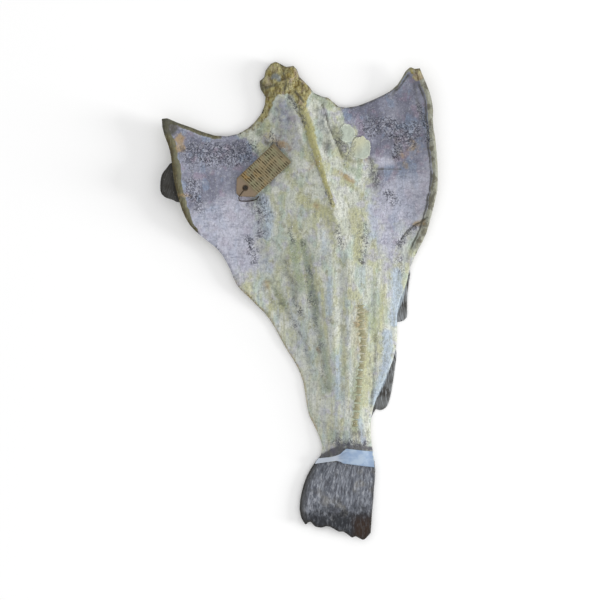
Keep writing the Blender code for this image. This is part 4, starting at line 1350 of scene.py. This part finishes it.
scraps = [membrane("front_membrane", (71, 250), (25, 28), 3.0),
          membrane("rear_membrane", (92, 228), (31, 35), 5.0)]
m = membrane_finish = Finish("dry_membrane", 0.5)
m_place = m.place()
m_fine = m.noise(2.2, m_place, 4.0, 0.65)
m_cloud = m.noise(9.0, m_place, 3.0)
scrap_tone = m.mix(m.attribute("yellow"), tone(162, 170, 158), tone(176, 177, 152))
scrap_tone = m.mix(m.ramp(m_cloud, 0.5, 0.68) * 0.6, scrap_tone, tone(150, 152, 138))
scrap_tone = m.mix(m.attribute("edge") * 0.35, scrap_tone, tone(196, 198, 184))
scrap_tone = m.mix(m.ramp(m_fine, 0.44, 0.36) * 0.35, scrap_tone, tone(118, 120, 112))
m.feed("Base Color", scrap_tone)
m.feed("Roughness", m.ramp(m_cloud, 0.3, 0.7, 0.42, 0.6))
m.feed("Alpha", m.ramp(m.attribute("blend") + (m_fine - 0.5) * 2, 1.0, 0.3))
m.bump(m_fine + m_cloud, 0.7)
for scrap in scraps:
    scrap.data.materials.append(membrane_finish.material)
    scrap.data.materials.append(membrane_finish.material)

# %% [markdown]
# ## The backbone's tail end
#
# The front of the backbone is cut out when a cod is split. Behind the cut a row of
# vertebrae is left, sunk in the flesh so that only their tops show, like the rungs of a
# ladder. Each is an hourglass: a profile spun round the line of the spine.

# %% Vertebrae
VERTEBRA_PITCH, VERTEBRA_SIZE = 12.1, 6.0
VERTEBRA_PROUD = 1.7
VERTEBRA_SPREAD = Matrix.Diagonal((1.45, 1, 1, 1))     # they are wider than they are high
HOURGLASS = [(0, -0.47), (0.7, -0.47), (1.0, -0.38), (0.84, -0.16), (0.76, 0), (0.84, 0.16),
             (1.0, 0.38), (0.7, 0.47), (0, 0.47)]      # (radius, place along) as shares
spine = smooth_route([Vector((x, y, 0)) * MM for x, y in LADDER], 0.5 * MM)
spine_bm = bmesh.new()
waist_shade = spine_bm.verts.layers.float.new("waist_shade")
reached, bones = 0.0, 0
for behind, place in zip(spine, spine[1:]):
    reached += (place - behind).length
    if reached < VERTEBRA_PITCH * MM:
        continue
    reached, bones = 0.0, bones + 1
    size = VERTEBRA_SIZE * MM * (1.1 - 0.024 * bones)
    points = [spine_bm.verts.new((radius * size, 0, along * VERTEBRA_PITCH * MM * 0.86))
              for radius, along in HOURGLASS]
    for point, (radius, _) in zip(points, HOURGLASS):
        point[waist_shade] = 1.0 if radius < 0.9 else 0.0
    lines = [spine_bm.edges.new(pair) for pair in zip(points, points[1:])]
    bmesh.ops.spin(spine_bm, geom=points + lines, axis=(0, 0, 1), cent=(0, 0, 0),
                   steps=14, angle=2 * math.pi, use_merge=True)
    linked = set(points)
    grown = set(points)
    while grown:
        grown = {v for g in grown for e in g.link_edges for v in e.verts} - linked
        linked |= grown
    lean = noise.noise(Vector((bones * 3.7, 0, 0))) * 0.3
    turn = (place - behind).to_track_quat("Z", "Y").to_matrix().to_4x4()
    height = flesh_height(place.x, place.y) + VERTEBRA_PROUD * MM - size
    spot = Vector((place.x, place.y, height))
    bmesh.ops.transform(spine_bm, verts=list(linked), matrix=Matrix.Translation(spot)
                        @ Matrix.Rotation(lean, 4, "Z") @ turn @ VERTEBRA_SPREAD)
bmesh.ops.remove_doubles(spine_bm, verts=spine_bm.verts, dist=1e-6)
bmesh.ops.recalc_face_normals(spine_bm, faces=spine_bm.faces)
b = bone_finish = Finish("backbone", 0.6)
b_place = b.place()
b_fine = b.noise(1.6, b_place, 4.0, 0.65)
b_cloud = b.noise(7.0, b_place, 3.0)
bone_tone = b.mix(b.ramp(b_cloud, 0.35, 0.65), tone(140, 138, 110), tone(166, 165, 142))
bone_tone = b.mix(b.ramp(b_fine, 0.46, 0.36) * 0.4, bone_tone, tone(116, 108, 84))
# Painted shade in the waist of each vertebra, between its two rims.
bone_tone = b.mix(b.attribute("waist_shade") * 0.45, bone_tone, tone(120, 113, 84))
b.feed("Base Color", bone_tone)
b.bump(b_fine, 0.5)
backbone = piece_from(spine_bm, "backbone", [bone_finish.material])
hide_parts("cod")
print("backbone:", bones, "vertebrae")

# %% [markdown]
# ## Salt
#
# Coarse salt sticks to the flesh everywhere and gathers in the hollows. Each grain is
# one small cube, as salt grows, half sunk and turned at random from a fixed seed.

# %% Salt
SALT_GRAINS = 1000
SALT_SIZE = (0.5, 1.15)        # millimetres, smallest and largest
chance = random.Random(11)
salt_bm = bmesh.new()
salted = 0
while salted < SALT_GRAINS:
    x = chance.uniform(COD_LOW.x, COD_HIGH.x)
    y = chance.uniform(TAIL_CUT, COD_HIGH.y)
    keen = chance.random()
    height = flesh_height(x, y)
    lined = (x < -60 * MM or y > 235 * MM or x > 104 * MM and y > 50 * MM
             or y < -204 * MM)
    gather = noise.noise(Vector((x, y, 0)) / (28 * MM)) + (-1.0 if lined else 0.15)
    if height is None or keen > 0.35 + gather or tag_hit(*(
            tag_place.inverted() @ Vector((x, y, 0))).xy):
        continue
    size = SALT_SIZE[0] + (SALT_SIZE[1] - SALT_SIZE[0]) * chance.random() ** 2.2
    turn = Matrix.Rotation(chance.uniform(0, 3), 4, Vector((
        chance.uniform(-1, 1), chance.uniform(-1, 1), chance.uniform(-1, 1))))
    spot = Vector((x, y, height + 0.1 * size * MM))
    bmesh.ops.create_cube(salt_bm, size=size * MM,
                          matrix=Matrix.Translation(spot) @ turn)
    salted += 1
g = salt_finish = Finish("salt", 0.35)
g_cloud = g.noise(6.0, g.place(), 3.0)
g.feed("Base Color", g.mix(g_cloud, tone(170, 172, 168), tone(204, 206, 204)))
g.bump(g_cloud, 0.1)
salt = piece_from(salt_bm, "salt_grains", [salt_finish.material], smooth=False)
